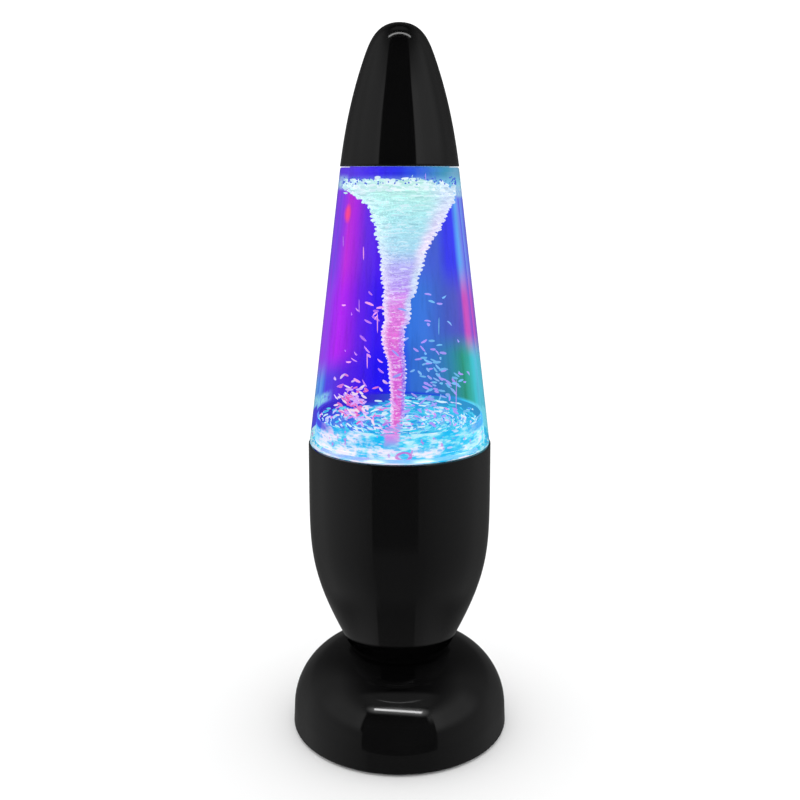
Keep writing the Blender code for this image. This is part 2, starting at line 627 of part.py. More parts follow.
def make_liquid():
    low, high = TANK_FLOOR + 2.0, LIQUID_TOP - 4.0
    heights = [low + (high - low) * (step / 7) ** 0.75 for step in range(8)]
    funnel = [(0, low)] + [(funnel_radius(height), height) for height in heights] + [(0, high)]
    turned("glitter_vortex", funnel, GLITTER, MEDIUM)
    step = CORNER_TOP + GAP
    side = WELL_RADIUS - GAP
    well = [(0.9, WELL_FLOOR + 10.6), (side, WELL_FLOOR + 10.6), (side, TANK_FLOOR + GAP)]
    tank = list(reversed(floor_corner(GAP)))
    tank += [(tank[-1][0], step), (tank_radius(step) - GAP, step)]
    tank.append((tank_radius(LIQUID_TOP) - GAP - 0.1, LIQUID_TOP - 0.6))
    hole = [(funnel_radius(high) + 0.4, LIQUID_TOP - 0.6)]
    hole += [(funnel_radius(height) + 0.4, height) for height in reversed(heights)]
    hole += [(0.9, low - 0.4)]
    turned("liquid", well + tank + hole, LIQUID, ROUND)


def make_stopper():
    bore = NECK_RADIUS - GLASS
    flange = NECK_RADIUS - 0.4
    outline = [(0, 270.5), (bore - 1.0, 270.5), (bore - 0.4, 271.1), (bore - 0.4, 273.6),
               (bore - 1.9, 273.6), (bore - 1.9, 276.4), (bore - 0.4, 276.4),
               (bore - 0.4, NECK_TOP + GAP), (flange, NECK_TOP + GAP), (flange, NECK_TOP + 2.0),
               (12.0, NECK_TOP + 2.0), (11.0, 275.0), (0, 275.0)]
    turned("stopper", outline, WHITE_PLASTIC, MEDIUM)
    turned("stopper_seal", ring(bore - 1.6, bore - 0.35, 273.9, 276.1), RUBBER, MEDIUM)


def make_cap():
    outer = cap_curve(0)
    inner = list(reversed(cap_curve(1.8)))
    turned("top_cap", outer + inner, GLOSS_BLACK, ROUND)


def main():
    for old in list(bpy.data.objects):
        bpy.data.objects.remove(old, do_unlink=True)
    make_dome()
    make_base_plate()
    make_base_screws()
    make_feet()
    make_battery_door()
    make_cells()
    make_controls()
    make_cup()
    make_motor_mount()
    make_motor()
    make_drive_hub()
    make_lights()
    make_leads()
    make_bottle()
    make_bottle_floor()
    make_impeller()
    make_liquid()
    make_stopper()
    make_cap()


main()
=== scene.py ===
"""Looks of the desk vortex lamp: gloss black shells, a clear bottle lit from below, and spinning glitter.

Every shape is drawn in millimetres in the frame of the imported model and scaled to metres. Turned pieces are
lists of (radius, height) points. The front of the lamp faces -Y.
"""
import math
import random

import bmesh
import bpy
import numpy as np
from mathutils import Matrix, Vector


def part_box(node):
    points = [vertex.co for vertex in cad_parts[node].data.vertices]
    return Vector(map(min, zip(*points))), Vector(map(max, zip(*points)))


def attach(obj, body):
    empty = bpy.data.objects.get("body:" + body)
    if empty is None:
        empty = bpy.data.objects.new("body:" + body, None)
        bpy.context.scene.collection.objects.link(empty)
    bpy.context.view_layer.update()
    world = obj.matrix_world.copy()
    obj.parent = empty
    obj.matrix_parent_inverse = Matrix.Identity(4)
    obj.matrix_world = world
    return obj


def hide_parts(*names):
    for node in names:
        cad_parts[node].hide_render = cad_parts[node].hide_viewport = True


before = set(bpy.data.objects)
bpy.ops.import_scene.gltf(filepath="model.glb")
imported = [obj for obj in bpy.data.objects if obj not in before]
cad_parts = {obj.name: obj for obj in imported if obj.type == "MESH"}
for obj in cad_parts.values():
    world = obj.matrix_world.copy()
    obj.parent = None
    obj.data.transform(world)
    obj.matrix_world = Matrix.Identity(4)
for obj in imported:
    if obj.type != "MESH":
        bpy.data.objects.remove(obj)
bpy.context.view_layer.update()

MM = 0.001
SIDES = 192
SHARP = 32.0


def high(node, axis=2):
    """Highest coordinate of a CAD node along an axis, in millimetres."""
    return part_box(node)[1][axis] / MM


def low(node, axis=2):
    """Lowest coordinate of a CAD node along an axis, in millimetres."""
    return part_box(node)[0][axis] / MM


def centre_of(node, *axes):
    """Middle of a CAD node's box along some axes, in millimetres."""
    return [(low(node, axis) + high(node, axis)) / 2 for axis in axes]


# Sizes read from the frame, in millimetres.
SEAT = high("dome_base")
RIM = high("cup")
CUP_FLOOR = low("cup")
CAP_EDGE = low("top_cap")
TOP = high("top_cap")
NECK_TOP = high("bottle")
SPIGOT_BOTTOM = low("bottle")
SPIGOT_RADIUS = 39.8
BOTTLE_FOOT_RADIUS = high("bottle", 0)
WELL_BOTTOM = low("bottle_floor")
CORNER_TOP = high("bottle_floor")
CORNER_RADIUS = 9.2
TANK_FLOOR = CORNER_TOP - CORNER_RADIUS
WELL_RADIUS = 10.6
RIM_RADIUS = 42.6
DOME_SHOULDER = 9.15
SHAFT_HOLE = 6.0
GLASS = 1.6
WALL = 2.2
LIQUID_TOP = high("liquid") + 0.4


# ---- node helpers ----

def srgb(red, green, blue):
    """An 8-bit display colour as linear RGBA."""
    def linear(value):
        value /= 255.0
        return value / 12.92 if value <= 0.04045 else ((value + 0.055) / 1.055) ** 2.4
    return (linear(red), linear(green), linear(blue), 1.0)


def grey(level):
    return (level, level, level, 1.0)


WHITE = grey(1.0)
FUNNEL_PINK = srgb(238, 110, 226)


class Nodes:
    """A short way to write the nodes of a new material, or of the world."""

    def __init__(self, name, world=None):
        self.owner = world or bpy.data.materials.new(name)
        self.owner.use_nodes = True
        self.tree = self.owner.node_tree
        self.tree.nodes.clear()
        self.output = self.add("OutputWorld" if world else "OutputMaterial")
        self.position = self.add("TexCoord").outputs["Object"]

    def add(self, kind, *entries, **settings):
        """A new node with its settings, and with its first inputs filled in order."""
        node = self.tree.nodes.new("ShaderNode" + kind)
        for key, value in settings.items():
            setattr(node, key, value)
        for socket, entry in zip(node.inputs, entries):
            self.link(entry, socket)
        return node

    def link(self, source, target):
        if isinstance(source, bpy.types.NodeSocket):
            self.tree.links.new(source, target)
        else:
            target.default_value = source

    def maths(self, operation, a, b=0.0, c=0.0, clamp=False):
        return self.add("Math", a, b, c, operation=operation, use_clamp=clamp).outputs[0]

    def times(self, product, *factors):
        for factor in factors:
            product = self.maths("MULTIPLY", product, factor)
        return product

    def plus(self, total, *terms):
        for term in terms:
            total = self.maths("ADD", total, term)
        return total

    def minus(self, a, b):
        return self.maths("SUBTRACT", a, b)

    def over(self, a, b):
        return self.maths("DIVIDE", a, b)

    def size(self, value):
        return self.maths("ABSOLUTE", value)

    def squares(self, a, b):
        return self.plus(self.times(a, a), self.times(b, b))

    def length(self, a, b):
        return self.maths("SQRT", self.squares(a, b))

    def remap(self, value, from_low, from_high, to_low=0.0, to_high=1.0, smooth=True):
        return self.add("MapRange", value, from_low, from_high, to_low, to_high,
                        interpolation_type="SMOOTHSTEP" if smooth else "LINEAR").outputs[0]

    def mix(self, share, a, b, blend="MIX"):
        node = self.add("Mix", share, data_type="RGBA", blend_type=blend, clamp_result=False)
        self.link(a, node.inputs[6])
        self.link(b, node.inputs[7])
        return node.outputs[2]

    def fade(self, a, b, value, start, end):
        """a before the value reaches start, and b after it reaches end."""
        return self.mix(self.remap(value, start, end), a, b)

    def ramp(self, value, stops, interpolation="LINEAR"):
        """A colour ramp. A stop is its place and an 8-bit display colour, or its place and one level."""
        node = self.add("ValToRGB", value)
        node.color_ramp.interpolation = interpolation
        elements = node.color_ramp.elements
        while len(elements) < len(stops):
            elements.new(0.5)
        for element, (place, *tone) in zip(elements, stops):
            element.position = place
            element.color = srgb(*tone) if len(tone) == 3 else grey(*tone)
        return node.outputs[0]

    def scaled(self, scale):
        return self.add("Mapping", self.position, (0.0,) * 3, (0.0,) * 3, scale).outputs[0]

    def noise(self, scale, detail=3.0, roughness=0.55, vector=None):
        """Noise of one scale, or of a scale for each axis."""
        if isinstance(scale, tuple):
            vector, scale = self.scaled(scale), 1.0
        return self.add("TexNoise", vector or self.position, 0.0, scale, detail, roughness).outputs[0]

    def waver(self, reach, scale):
        """Soft noise, of either sign, up to half the reach."""
        return self.times(self.minus(self.noise(scale, 2.0), 0.5), reach)

    def cells(self, scale, feature="F1", vector=None):
        return self.add("TexVoronoi", vector or self.position, 0.0, scale, feature=feature)

    def axes(self):
        return self.add("SeparateXYZ", self.position).outputs

    def bump(self, height, strength, distance=0.0002):
        node = self.add("Bump", strength, distance)
        self.link(height, node.inputs["Height"])
        return node.outputs[0]

    def principled(self, **sockets):
        node = self.add("BsdfPrincipled")
        for name, value in sockets.items():
            self.link(value, node.inputs[name.replace("_", " ")])
        return node.outputs[0]

    def mix_shader(self, share, a, b):
        return self.add("MixShader", share, a, b).outputs[0]

    def emission(self, colour, strength=1.0):
        return self.add("Emission", colour, strength).outputs[0]

    def clear(self, colour=WHITE):
        return self.add("BsdfTransparent", colour).outputs[0]

    def from_axis(self):
        """Distance from the lamp's axis."""
        return self.length(*self.axes()[:2])

    def upward(self):
        """Height component of the surface's normal."""
        return self.add("SeparateXYZ", self.add("TexCoord").outputs["Normal"]).outputs[2]

    def facing_away(self):
        return self.add("NewGeometry").outputs["Backfacing"]

    def finish(self, shader):
        self.link(shader, self.output.inputs["Surface"])
        return self.owner

    def surface(self, **sockets):
        return self.finish(self.principled(**sockets))

    def glowing(self, base, roughness, light, strength=1.0):
        return self.surface(Base_Color=base, Roughness=roughness, Emission_Color=light,
                            Emission_Strength=strength)


# ---- materials ----

def gloss_black():
    """Injection-moulded gloss plastic: near black, faintly uneven gloss, fine dust."""
    n = Nodes("gloss_black_plastic")
    smears = n.noise(38.0, 4.0)
    waves = n.noise(90.0, 2.0)
    dust = n.cells(900.0)
    speck = n.remap(dust.outputs["Distance"], 0.10, 0.04)
    rare = n.remap(n.noise(140.0, 2.0), 0.60, 0.68)
    dusty = n.times(speck, rare, 0.25)
    colour = n.mix(dusty, (0.0012, 0.0012, 0.0013, 1.0), (0.05, 0.05, 0.052, 1.0))
    roughness = n.remap(smears, 0.35, 0.7, 0.045, 0.10)
    return n.surface(Base_Color=colour, Roughness=roughness, IOR=1.49, Normal=n.bump(waves, 0.05, 0.0001))


def moulded(name, colour, roughness, grain=0.25, spread=0.18):
    """Plain moulded plastic with a fine spark-eroded grain and slight mottling."""
    n = Nodes(name)
    mottle = n.noise(45.0, 3.0)
    fine = n.noise(1600.0, 2.0)
    dark = tuple(channel * (1 - spread) for channel in colour[:3]) + (1.0,)
    shade = n.mix(mottle, dark, colour)
    rough = n.remap(mottle, 0.3, 0.7, roughness - 0.06, roughness + 0.06)
    return n.surface(Base_Color=shade, Roughness=rough, Normal=n.bump(fine, grain, 0.0001))


def metal(name, colour, roughness, stretch=(30.0, 30.0, 900.0)):
    """Drawn or turned metal with fine lines along one axis and faint stains."""
    n = Nodes(name)
    lines = n.noise(4.0, 4.0, vector=n.scaled(stretch))
    stains = n.noise(120.0, 3.0)
    dark = tuple(channel * 0.7 for channel in colour[:3]) + (1.0,)
    shade = n.mix(stains, dark, colour)
    rough = n.remap(lines, 0.3, 0.7, roughness - 0.08, roughness + 0.1)
    return n.surface(Base_Color=shade, Metallic=1.0, Roughness=rough, Normal=n.bump(lines, 0.15, 0.00005))


def rubber():
    """Soft black rubber with a matt, dusty surface."""
    n = Nodes("foot_rubber")
    dust = n.noise(260.0, 5.0, 0.7)
    shade = n.fade(srgb(26, 26, 27), srgb(64, 63, 61), dust, 0.45, 0.8)
    return n.surface(Base_Color=shade, Roughness=n.remap(dust, 0.3, 0.8, 0.7, 0.95),
                     Normal=n.bump(n.noise(2400.0, 2.0), 0.35, 0.0001))


def circuit_board(name, mask, tracks):
    """Circuit board: tracks under a solder mask, with small pads."""
    n = Nodes(name)
    grid = n.cells(520.0, "DISTANCE_TO_EDGE")
    edge = n.remap(grid.outputs["Distance"], 0.02, 0.08)
    pads = n.remap(n.cells(380.0).outputs["Distance"], 0.16, 0.12)
    shade = n.mix(edge, tracks, mask)
    shade = n.mix(pads, shade, srgb(196, 190, 170))
    height = n.plus(pads, n.times(edge, -0.5))
    return n.surface(Base_Color=shade, Roughness=n.remap(pads, 0.0, 1.0, 0.42, 0.25),
                     Normal=n.bump(height, 0.3, 0.0001))


def cell_jacket():
    """Printed battery jacket in two plain bands with bare metal at the ends."""
    n = Nodes("cell_jacket")
    x = n.axes()[0]
    along = n.size(x)
    band = n.remap(x, 0.009, 0.0092)
    ends = n.remap(along, 0.0252, 0.0254)
    body = n.mix(band, srgb(28, 29, 32), srgb(186, 118, 62))
    shade = n.mix(ends, body, srgb(190, 190, 192))
    scuffs = n.noise(300.0, 5.0, 0.7)
    shade = n.mix(n.remap(scuffs, 0.6, 0.8, 0.0, 0.3), shade, srgb(120, 120, 122))
    return n.surface(Base_Color=shade, Metallic=n.remap(ends, 0.0, 1.0, 0.25, 1.0),
                     Roughness=n.remap(scuffs, 0.3, 0.7, 0.22, 0.4))


def glow_colour(n):
    """Light in the liquid, by place on the tank's wall. It is violet on the left, blue on the right, and
    cyan low down."""
    x, _, z = n.axes()
    side = n.over(x, n.from_axis())
    waver = n.waver(0.07, (55, 55, 9))
    place = n.maths("MULTIPLY_ADD", n.plus(side, waver), 0.5, 0.5)
    # Painted LED reflections: pale blue stops at the right of upper, pink stops at the right of middle.
    upper = n.ramp(place, [
        (0.00, 120, 70, 240), (0.03, 150, 50, 240), (0.07, 196, 42, 226), (0.13, 168, 36, 230),
        (0.22, 104, 40, 232), (0.36, 76, 36, 246), (0.52, 66, 66, 236), (0.66, 68, 98, 220),
        (0.80, 70, 96, 214), (0.87, 56, 60, 240), (0.93, 60, 64, 250), (0.965, 96, 176, 255),
        (0.985, 120, 150, 250), (1.00, 96, 90, 240)])
    middle = n.ramp(place, [
        (0.00, 150, 70, 246), (0.03, 164, 34, 246), (0.07, 184, 30, 250), (0.13, 150, 26, 238),
        (0.20, 104, 26, 236), (0.31, 60, 26, 246), (0.48, 44, 28, 250), (0.57, 56, 120, 228),
        (0.68, 62, 122, 226), (0.82, 68, 96, 200), (0.91, 84, 90, 200), (0.945, 104, 80, 206),
        (0.965, 214, 84, 198), (0.985, 206, 86, 204), (1.00, 120, 86, 226)])
    lower = n.ramp(place, [
        (0.00, 104, 172, 246), (0.014, 74, 124, 240), (0.030, 84, 64, 236), (0.12, 92, 26, 232),
        (0.22, 70, 18, 236), (0.33, 38, 20, 248), (0.48, 28, 26, 252), (0.58, 52, 112, 216),
        (0.74, 54, 118, 202), (0.85, 46, 138, 170), (0.92, 40, 152, 128), (0.955, 52, 180, 170),
        (0.98, 66, 204, 220), (1.00, 96, 204, 236)])
    colour = n.fade(middle, upper, z, 0.207, 0.226)
    colour = n.fade(colour, lower, n.maths("MULTIPLY_ADD", place, -0.012, z), 0.182, 0.168)
    # A painted reflection of a pink LED in the wall, high on the left.
    spot_z = n.times(n.minus(z, 0.2474), 190.0)
    spot_x = n.times(n.minus(place, 0.058), 30.0)
    spot_gap = n.squares(spot_z, spot_x)
    colour = n.fade(colour, srgb(255, 70, 150), spot_gap, 1.0, 0.0)
    surface = n.ramp(place, [
        (0.0, 96, 60, 232), (0.25, 62, 38, 240), (0.5, 46, 56, 236), (0.72, 50, 104, 220),
        (0.9, 64, 150, 186), (1.0, 120, 176, 210)])
    pale = n.ramp(place, [(0.0, 120, 110, 240), (0.4, 126, 150, 240), (1.0, 130, 206, 236)])
    surface = n.fade(surface, pale, z, 0.2655, 0.2605)
    colour = n.fade(colour, surface, z, 0.2575, 0.2605)
    at_wall = n.remap(n.size(side), 0.90, 0.97)
    raft_z = n.maths("MULTIPLY_ADD", n.plus(side, waver), 0.0018, z)
    beside_raft = n.times(n.remap(raft_z, 0.2558, 0.2580), n.remap(raft_z, 0.2640, 0.2600),
                          n.remap(n.noise(700.0, 2.0), 0.35, 0.6, 0.35, 0.95))
    colour = n.mix(n.times(at_wall, beside_raft), colour, srgb(176, 222, 240))
    foot = n.ramp(place, [
        (0.0, 72, 66, 228), (0.10, 60, 40, 218), (0.22, 60, 30, 214), (0.45, 30, 30, 232),
        (0.78, 30, 90, 216), (0.9, 60, 204, 246), (1.0, 120, 228, 250)])
    colour = n.fade(colour, foot, z, 0.1590, 0.1568)
    patch = n.times(n.remap(z, 0.1570, 0.1592), n.remap(z, 0.1645, 0.1612), n.remap(place, 0.08, 0.02),
                    n.remap(n.noise(500.0, 2.0), 0.35, 0.55, 0.3, 1.0))
    colour = n.mix(patch, colour, srgb(150, 226, 250))
    low_edge = n.fade(swirl_colour(n), srgb(150, 136, 240), n.from_axis(), 0.0420, 0.0426)
    colour = n.fade(colour, low_edge, z, 0.1482, 0.1474)
    streaks = n.noise((420, 420, 5), 3.0, 0.6)
    shade = n.mix(n.remap(streaks, 0.3, 0.75, 0.86, 1.14, smooth=False), grey(0.0), WHITE)
    return n.mix(1.0, colour, shade, "MULTIPLY")


def liquid_glow():
    """Clear liquid seen from outside; from inside, the far wall of the tank glows in the LEDs' colours."""
    n = Nodes("liquid")
    clear = n.clear((0.985, 0.985, 1.0, 1.0))
    return n.finish(n.mix_shader(n.facing_away(), clear, n.emission(glow_colour(n))))


def bottle_outside():
    """Outer face of the bottle: clear and glossy from outside, edge-lit where it is seen from inside."""
    n = Nodes("clear_bottle")
    fresnel = n.add("Fresnel", 1.49)
    scratches = n.noise((300, 300, 60), 4.0)
    rough = n.remap(scratches, 0.35, 0.7, 0.03, 0.08)
    gloss = n.principled(Base_Color=WHITE, Metallic=1.0, Roughness=rough)
    outside = n.mix_shader(n.maths("MULTIPLY", fresnel.outputs[0], 0.7, clamp=True), n.clear(), gloss)
    return n.finish(n.mix_shader(n.facing_away(), outside, n.emission(glow_colour(n), 1.05)))


def hazy(name, scale, most, tint, detail=4.0):
    """A clear face that hardly shows, with a little uneven haze."""
    n = Nodes(name)
    haze = n.remap(n.noise(scale, detail), 0.4, 0.8, 0.0, most)
    return n.finish(n.mix_shader(haze, n.clear(), n.principled(Base_Color=tint, Roughness=0.2)))


def swirl_colour(n):
    """Cyan and white light swept round the floor of the bottle, paler at the front, with pink marks."""
    x, y, z = n.axes()
    angle = n.maths("ARCTAN2", x, n.times(y, -1.0))
    stretched = (n.times(angle, 3.2), n.times(n.from_axis(), 420.0), n.times(z, 260.0))
    polar = n.add("CombineXYZ", *stretched).outputs[0]
    sweep = n.noise(1.0, 4.0, 0.62, vector=polar)
    cloud = n.noise(130.0, 4.0, 0.6)
    cyan = n.fade(srgb(22, 190, 242), srgb(104, 230, 249), sweep, 0.40, 0.60)
    white = n.fade(srgb(170, 226, 252), srgb(246, 238, 255), sweep, 0.36, 0.56)
    colour = n.mix(n.times(n.remap(sweep, 0.50, 0.60), 0.8), cyan, srgb(200, 244, 252))
    low_down = n.remap(z, 0.1585, 0.1475, -0.10, 0.10, smooth=False)
    to_left = n.remap(x, 0.03, -0.03, -0.18, 0.05, smooth=False)
    streaked = n.maths("MULTIPLY_ADD", sweep, 0.5, cloud)
    pale = n.remap(n.plus(streaked, low_down, to_left), 0.69, 0.86)
    colour = n.mix(n.times(pale, n.remap(y, 0.0, -0.02)), colour, white)
    chips = n.cells(3.2, vector=polar)
    tone = n.ramp(chips.outputs["Color"], [
        (0.0, 40, 196, 244), (0.30, 120, 236, 250), (0.50, 242, 250, 255), (0.66, 236, 214, 252),
        (0.76, 24, 170, 236), (0.92, 228, 150, 230)], "CONSTANT")
    colour = n.mix(n.remap(chips.outputs["Distance"], 0.46, 0.36, 0.0, 0.55), colour, tone)
    marks = n.remap(n.noise(300.0, 2.0, 0.6), 0.64, 0.68)
    colour = n.mix(n.times(marks, 0.7), colour, srgb(206, 110, 222))
    return n.mix(n.times(funnel_streak(n), 0.75), colour, FUNNEL_PINK)


def funnel_streak(n):
    """Share of the pink funnel's reflection, which runs forward from its foot over the floor."""
    x, y, z = n.axes()
    waver = n.waver(0.005, (60, 200, 900))
    gap = n.size(n.plus(x, 0.0034, waver))
    across = n.remap(gap, 0.0040, 0.0026)
    return n.times(across, n.times(n.remap(y, 0.002, -0.002), n.remap(z, 0.1484, 0.1560)))


def lit_floor():
    """Top of the clear floor, full of light from the diffuser, and dark blue in its rounded corner."""
    n = Nodes("lit_floor")
    x, y, z = n.axes()
    corner = n.fade(srgb(52, 28, 206), srgb(42, 150, 208), x, -0.02, 0.03)
    low_corner = n.fade(srgb(52, 80, 232), srgb(44, 194, 240), x, -0.03, 0.03)
    corner = n.fade(corner, low_corner, z, 0.1545, 0.1505)
    flat = n.mix(n.times(n.remap(y, -0.016, 0.006), 0.8), swirl_colour(n), corner)
    colour = n.fade(flat, corner, z, 0.1492, 0.1520)
    return n.finish(n.mix_shader(n.facing_away(), n.emission(colour), n.clear()))


def lit_rim():
    """Edge of the clear floor and its seal, lit from below, with the ring of one LED at the front."""
    n = Nodes("lit_rim")
    x, y, z = n.axes()
    across = n.minus(x, 0.0019)
    up = n.times(n.minus(z, 0.1464), 1.7)
    gap = n.length(across, up)
    wobble = n.waver(0.0016, 600.0)
    ring = n.remap(n.size(n.minus(n.plus(gap, wobble), 0.0030)), 0.0011, 0.0004)
    front = n.remap(y, -0.03, -0.036)
    upper_side = n.times(n.remap(z, 0.1518, 0.1534), n.remap(y, -0.030, -0.014, 0.0, 0.9))
    deep = n.fade(srgb(48, 30, 214), srgb(40, 150, 232), x, -0.02, 0.02)
    colour = n.mix(upper_side, swirl_colour(n), deep)
    colour = n.mix(n.times(ring, front, 0.8), colour, srgb(206, 70, 200))
    return n.glowing((0.02, 0.02, 0.03, 1.0), 0.3, colour)


def glitter(kind):
    """Pearl flakes lit by the LEDs. kind is core, inner, fringe, loose, floor or raft."""
    n = Nodes(f"glitter_{kind}")
    x, _, z = n.axes()
    by_flake = n.add("NewGeometry").outputs["Random Per Island"]
    height = n.remap(z, 0.145, 0.260, smooth=False)
    bottom, top = FUNNEL[0][0], FUNNEL[-1][0]
    place = n.remap(z, bottom * MM, top * MM, smooth=False)
    rows = [((row[0] - bottom) / (top - bottom), row[1] / 30, 0.5 + row[2] / 20) for row in FUNNEL]
    width = n.times(n.ramp(place, [(at, wide) for at, wide, _ in rows]), 30 * MM)
    lean = n.ramp(place, [(at, side) for at, _, side in rows])
    lean = n.times(n.minus(lean, 0.5), 20 * MM)
    across = n.over(n.minus(x, lean), width)
    middle = n.ramp(height, [
        (0.00, 226, 120, 226), (0.08, 234, 98, 212), (0.30, 222, 96, 222), (0.42, 236, 116, 222),
        (0.52, 230, 132, 230), (0.575, 222, 146, 242), (0.61, 190, 156, 248), (0.70, 184, 180, 248),
        (0.76, 172, 224, 244), (0.88, 176, 238, 242), (1.00, 192, 250, 236)])
    left = n.ramp(height, [
        (0.00, 236, 170, 240), (0.30, 244, 176, 236), (0.50, 240, 206, 248), (0.66, 214, 206, 252),
        (0.80, 196, 238, 246), (0.9, 186, 246, 240), (1.00, 200, 248, 246)])
    right = n.ramp(height, [
        (0.00, 170, 110, 236), (0.26, 140, 90, 240), (0.40, 196, 110, 236), (0.52, 196, 196, 250),
        (0.66, 206, 226, 252), (0.76, 240, 222, 250), (0.88, 222, 220, 250), (1.00, 202, 234, 250)])
    colour = n.fade(middle, left, across, -0.35, -0.85)
    colour = n.fade(colour, right, across, 0.35, 0.80)
    white = srgb(240, 250, 255)
    levels = {"inner": (0.82, 1.05), "fringe": (0.93, 1.05)}.get(kind, (0.86, 1.06))
    strength = n.remap(by_flake, 0.0, 1.0, *levels, smooth=False)
    if kind == "core":
        ripple = n.noise((160, 160, 1500), 3.0)
        strength = n.remap(ripple, 0.3, 0.72, 0.82, 1.06)
    elif kind == "inner":
        colour = n.mix(n.remap(by_flake, 0.3, 1.0, 0.0, 0.50), colour, white)
    elif kind == "fringe":
        edge = n.remap(n.size(across), 0.55, 1.0)
        colour = n.mix(n.times(edge, n.remap(by_flake, 0.1, 0.9, 0.25, 0.8)), colour, white)
    elif kind == "loose":
        warm = n.fade(srgb(196, 120, 255), srgb(255, 170, 236), by_flake, 0.35, 0.65)
        cool = n.fade(srgb(120, 200, 255), srgb(176, 150, 250), by_flake, 0.35, 0.65)
        colour = n.fade(warm, cool, x, -0.012, 0.008)
        low_down = n.ramp(by_flake, [
            (0.0, 250, 128, 214), (0.25, 255, 234, 250), (0.55, 232, 92, 190),
            (0.75, 216, 168, 255)], "CONSTANT")
        patch = n.times(n.remap(x, -0.004, -0.012), n.remap(z, 0.178, 0.168))
        colour = n.mix(patch, colour, low_down)
    elif kind == "floor":
        colour = n.ramp(by_flake, [
            (0.0, 24, 176, 240), (0.22, 60, 212, 244), (0.46, 140, 232, 250), (0.62, 214, 244, 255),
            (0.80, 206, 206, 252), (0.90, 60, 120, 236), (0.96, 226, 120, 226)], "CONSTANT")
        colour = n.mix(n.times(funnel_streak(n), 0.8), colour, FUNNEL_PINK)
    else:
        colour = n.mix(n.remap(by_flake, 0.2, 0.9, 0.1, 0.8), colour, white)
    # Painted shading: flakes that lie flat glow a little brighter than those standing on edge.
    facing = n.size(n.upward())
    strength = n.times(strength, n.remap(facing, 0.0, 1.0, 0.90, 1.06, smooth=False))
    return n.glowing((0.04, 0.04, 0.05, 1.0), 0.3, colour, strength)


def milky_diffuser():
    """White diffuser over the LEDs, brighter above each one."""
    n = Nodes("milky_diffuser")
    x, y, _ = n.axes()
    angle = n.maths("ARCTAN2", y, x)
    ring = n.remap(n.size(n.minus(n.from_axis(), 0.025)), 0.011, 0.0)
    spot = n.maths("POWER", n.remap(n.maths("COSINE", n.times(angle, 6.0)), -1.0, 1.0), 2.0)
    hot = n.times(ring, spot)
    tint = n.fade(srgb(40, 190, 250), srgb(170, 120, 255), n.noise(30.0, 2.0), 0.42, 0.58)
    colour = n.mix(hot, tint, srgb(240, 250, 255))
    return n.glowing(srgb(226, 228, 232), 0.45, colour, n.remap(hot, 0.0, 1.0, 0.45, 1.3))


def led_lens(name, colour):
    """Clear epoxy LED, lit in its own colour from the chip at its foot."""
    n = Nodes(name)
    z = n.axes()[2]
    low_z, high_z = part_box("led_1")
    core = n.remap(z, high_z[2], low_z[2] + 0.002)
    strength = n.remap(n.noise(400.0, 2.0), 0.3, 0.7, 0.7, 1.3)
    return n.glowing((0.8, 0.85, 0.9, 1.0), 0.12, n.mix(core, colour, WHITE), strength)


# ---- mesh helpers ----

def ring_point(radius, angle, height, centre=(0.0, 0.0)):
    return (centre[0] + radius * math.cos(angle), centre[1] + radius * math.sin(angle), height)


def add_object(name, data):
    made = bpy.data.objects.new(name, data)
    bpy.context.scene.collection.objects.link(made)
    return made


def new_object(name, verts, faces, material_list, face_materials=None, sharp=SHARP):
    """A smooth-shaded object from millimetre vertices."""
    mesh = bpy.data.meshes.new(name)
    mesh.from_pydata((np.asarray(verts) * MM).tolist(), [], faces)
    for material in material_list:
        mesh.materials.append(material)
    if face_materials is not None:
        mesh.polygons.foreach_set("material_index", face_materials)
    mesh.shade_smooth()
    mesh.set_sharp_from_angle(angle=math.radians(sharp))
    mesh.update()
    return add_object(name, mesh)


def lathe(name, outline, material_list, slots=None, sides=SIDES, centre=(0.0, 0.0)):
    """Turn a closed outline of (radius, height) points, drawn anticlockwise: up the outside, down the
    inside. slots gives the material index of the band that starts at each point."""
    verts, rings = [], []
    for radius, height in outline:
        count = 1 if radius < 1e-6 else sides
        rings.append([len(verts) + step % count for step in range(sides + 1)])
        verts += [ring_point(radius, math.tau * step / sides, height, centre) for step in range(count)]
    faces, indices = [], []
    for number, (a, b) in enumerate(zip(rings, rings[1:] + rings[:1])):
        if a[0] == a[1] and b[0] == b[1]:
            continue
        for step in range(sides):
            corners = (a[step], a[step + 1], b[step + 1], b[step])
            faces.append(tuple(dict.fromkeys(corners)))
            indices.append(slots[number] if slots else 0)
    return new_object(name, verts, faces, material_list, indices)


def rounded(outline, radius):
    """A closed outline with each corner replaced by a small arc."""
    steps = 4
    result = []
    for before, point, after in zip(outline[-1:] + outline, outline, outline[1:] + outline[:1]):
        here = Vector(point)
        back, ahead = Vector(before) - here, Vector(after) - here
        turn = math.pi - back.angle(ahead)
        reach = min(radius * math.tan(turn / 2), back.length * 0.45, ahead.length * 0.45)
        start, end = here + back.normalized() * reach, here + ahead.normalized() * reach
        for step in range(steps + 1):
            t = step / steps
            result.append(tuple((1 - t) ** 2 * start + 2 * t * (1 - t) * here + t * t * end))
    return result


def bezier(start, handle_a, handle_b, end, steps):
    """Points of a cubic curve, without its first point."""
    points = []
    for step in range(1, steps + 1):
        t = step / steps
        weights = ((1 - t) ** 3, 3 * t * (1 - t) ** 2, 3 * t * t * (1 - t), t ** 3)
        corners = (start, handle_a, handle_b, end)
        points.append(tuple(sum(w * p[axis] for w, p in zip(weights, corners)) for axis in (0, 1)))
    return points


def subtract(target, tools):
    """Cut closed tools out of a piece and remove them."""
    for tool in tools:
        modifier = target.modifiers.new("cut", "BOOLEAN")
        modifier.object = tool
        modifier.solver = "EXACT"
        with bpy.context.temp_override(object=target, active_object=target):
            bpy.ops.object.modifier_apply(modifier=modifier.name)
        bpy.data.objects.remove(tool)
    target.data.shade_smooth()
    target.data.set_sharp_from_angle(angle=math.radians(SHARP))


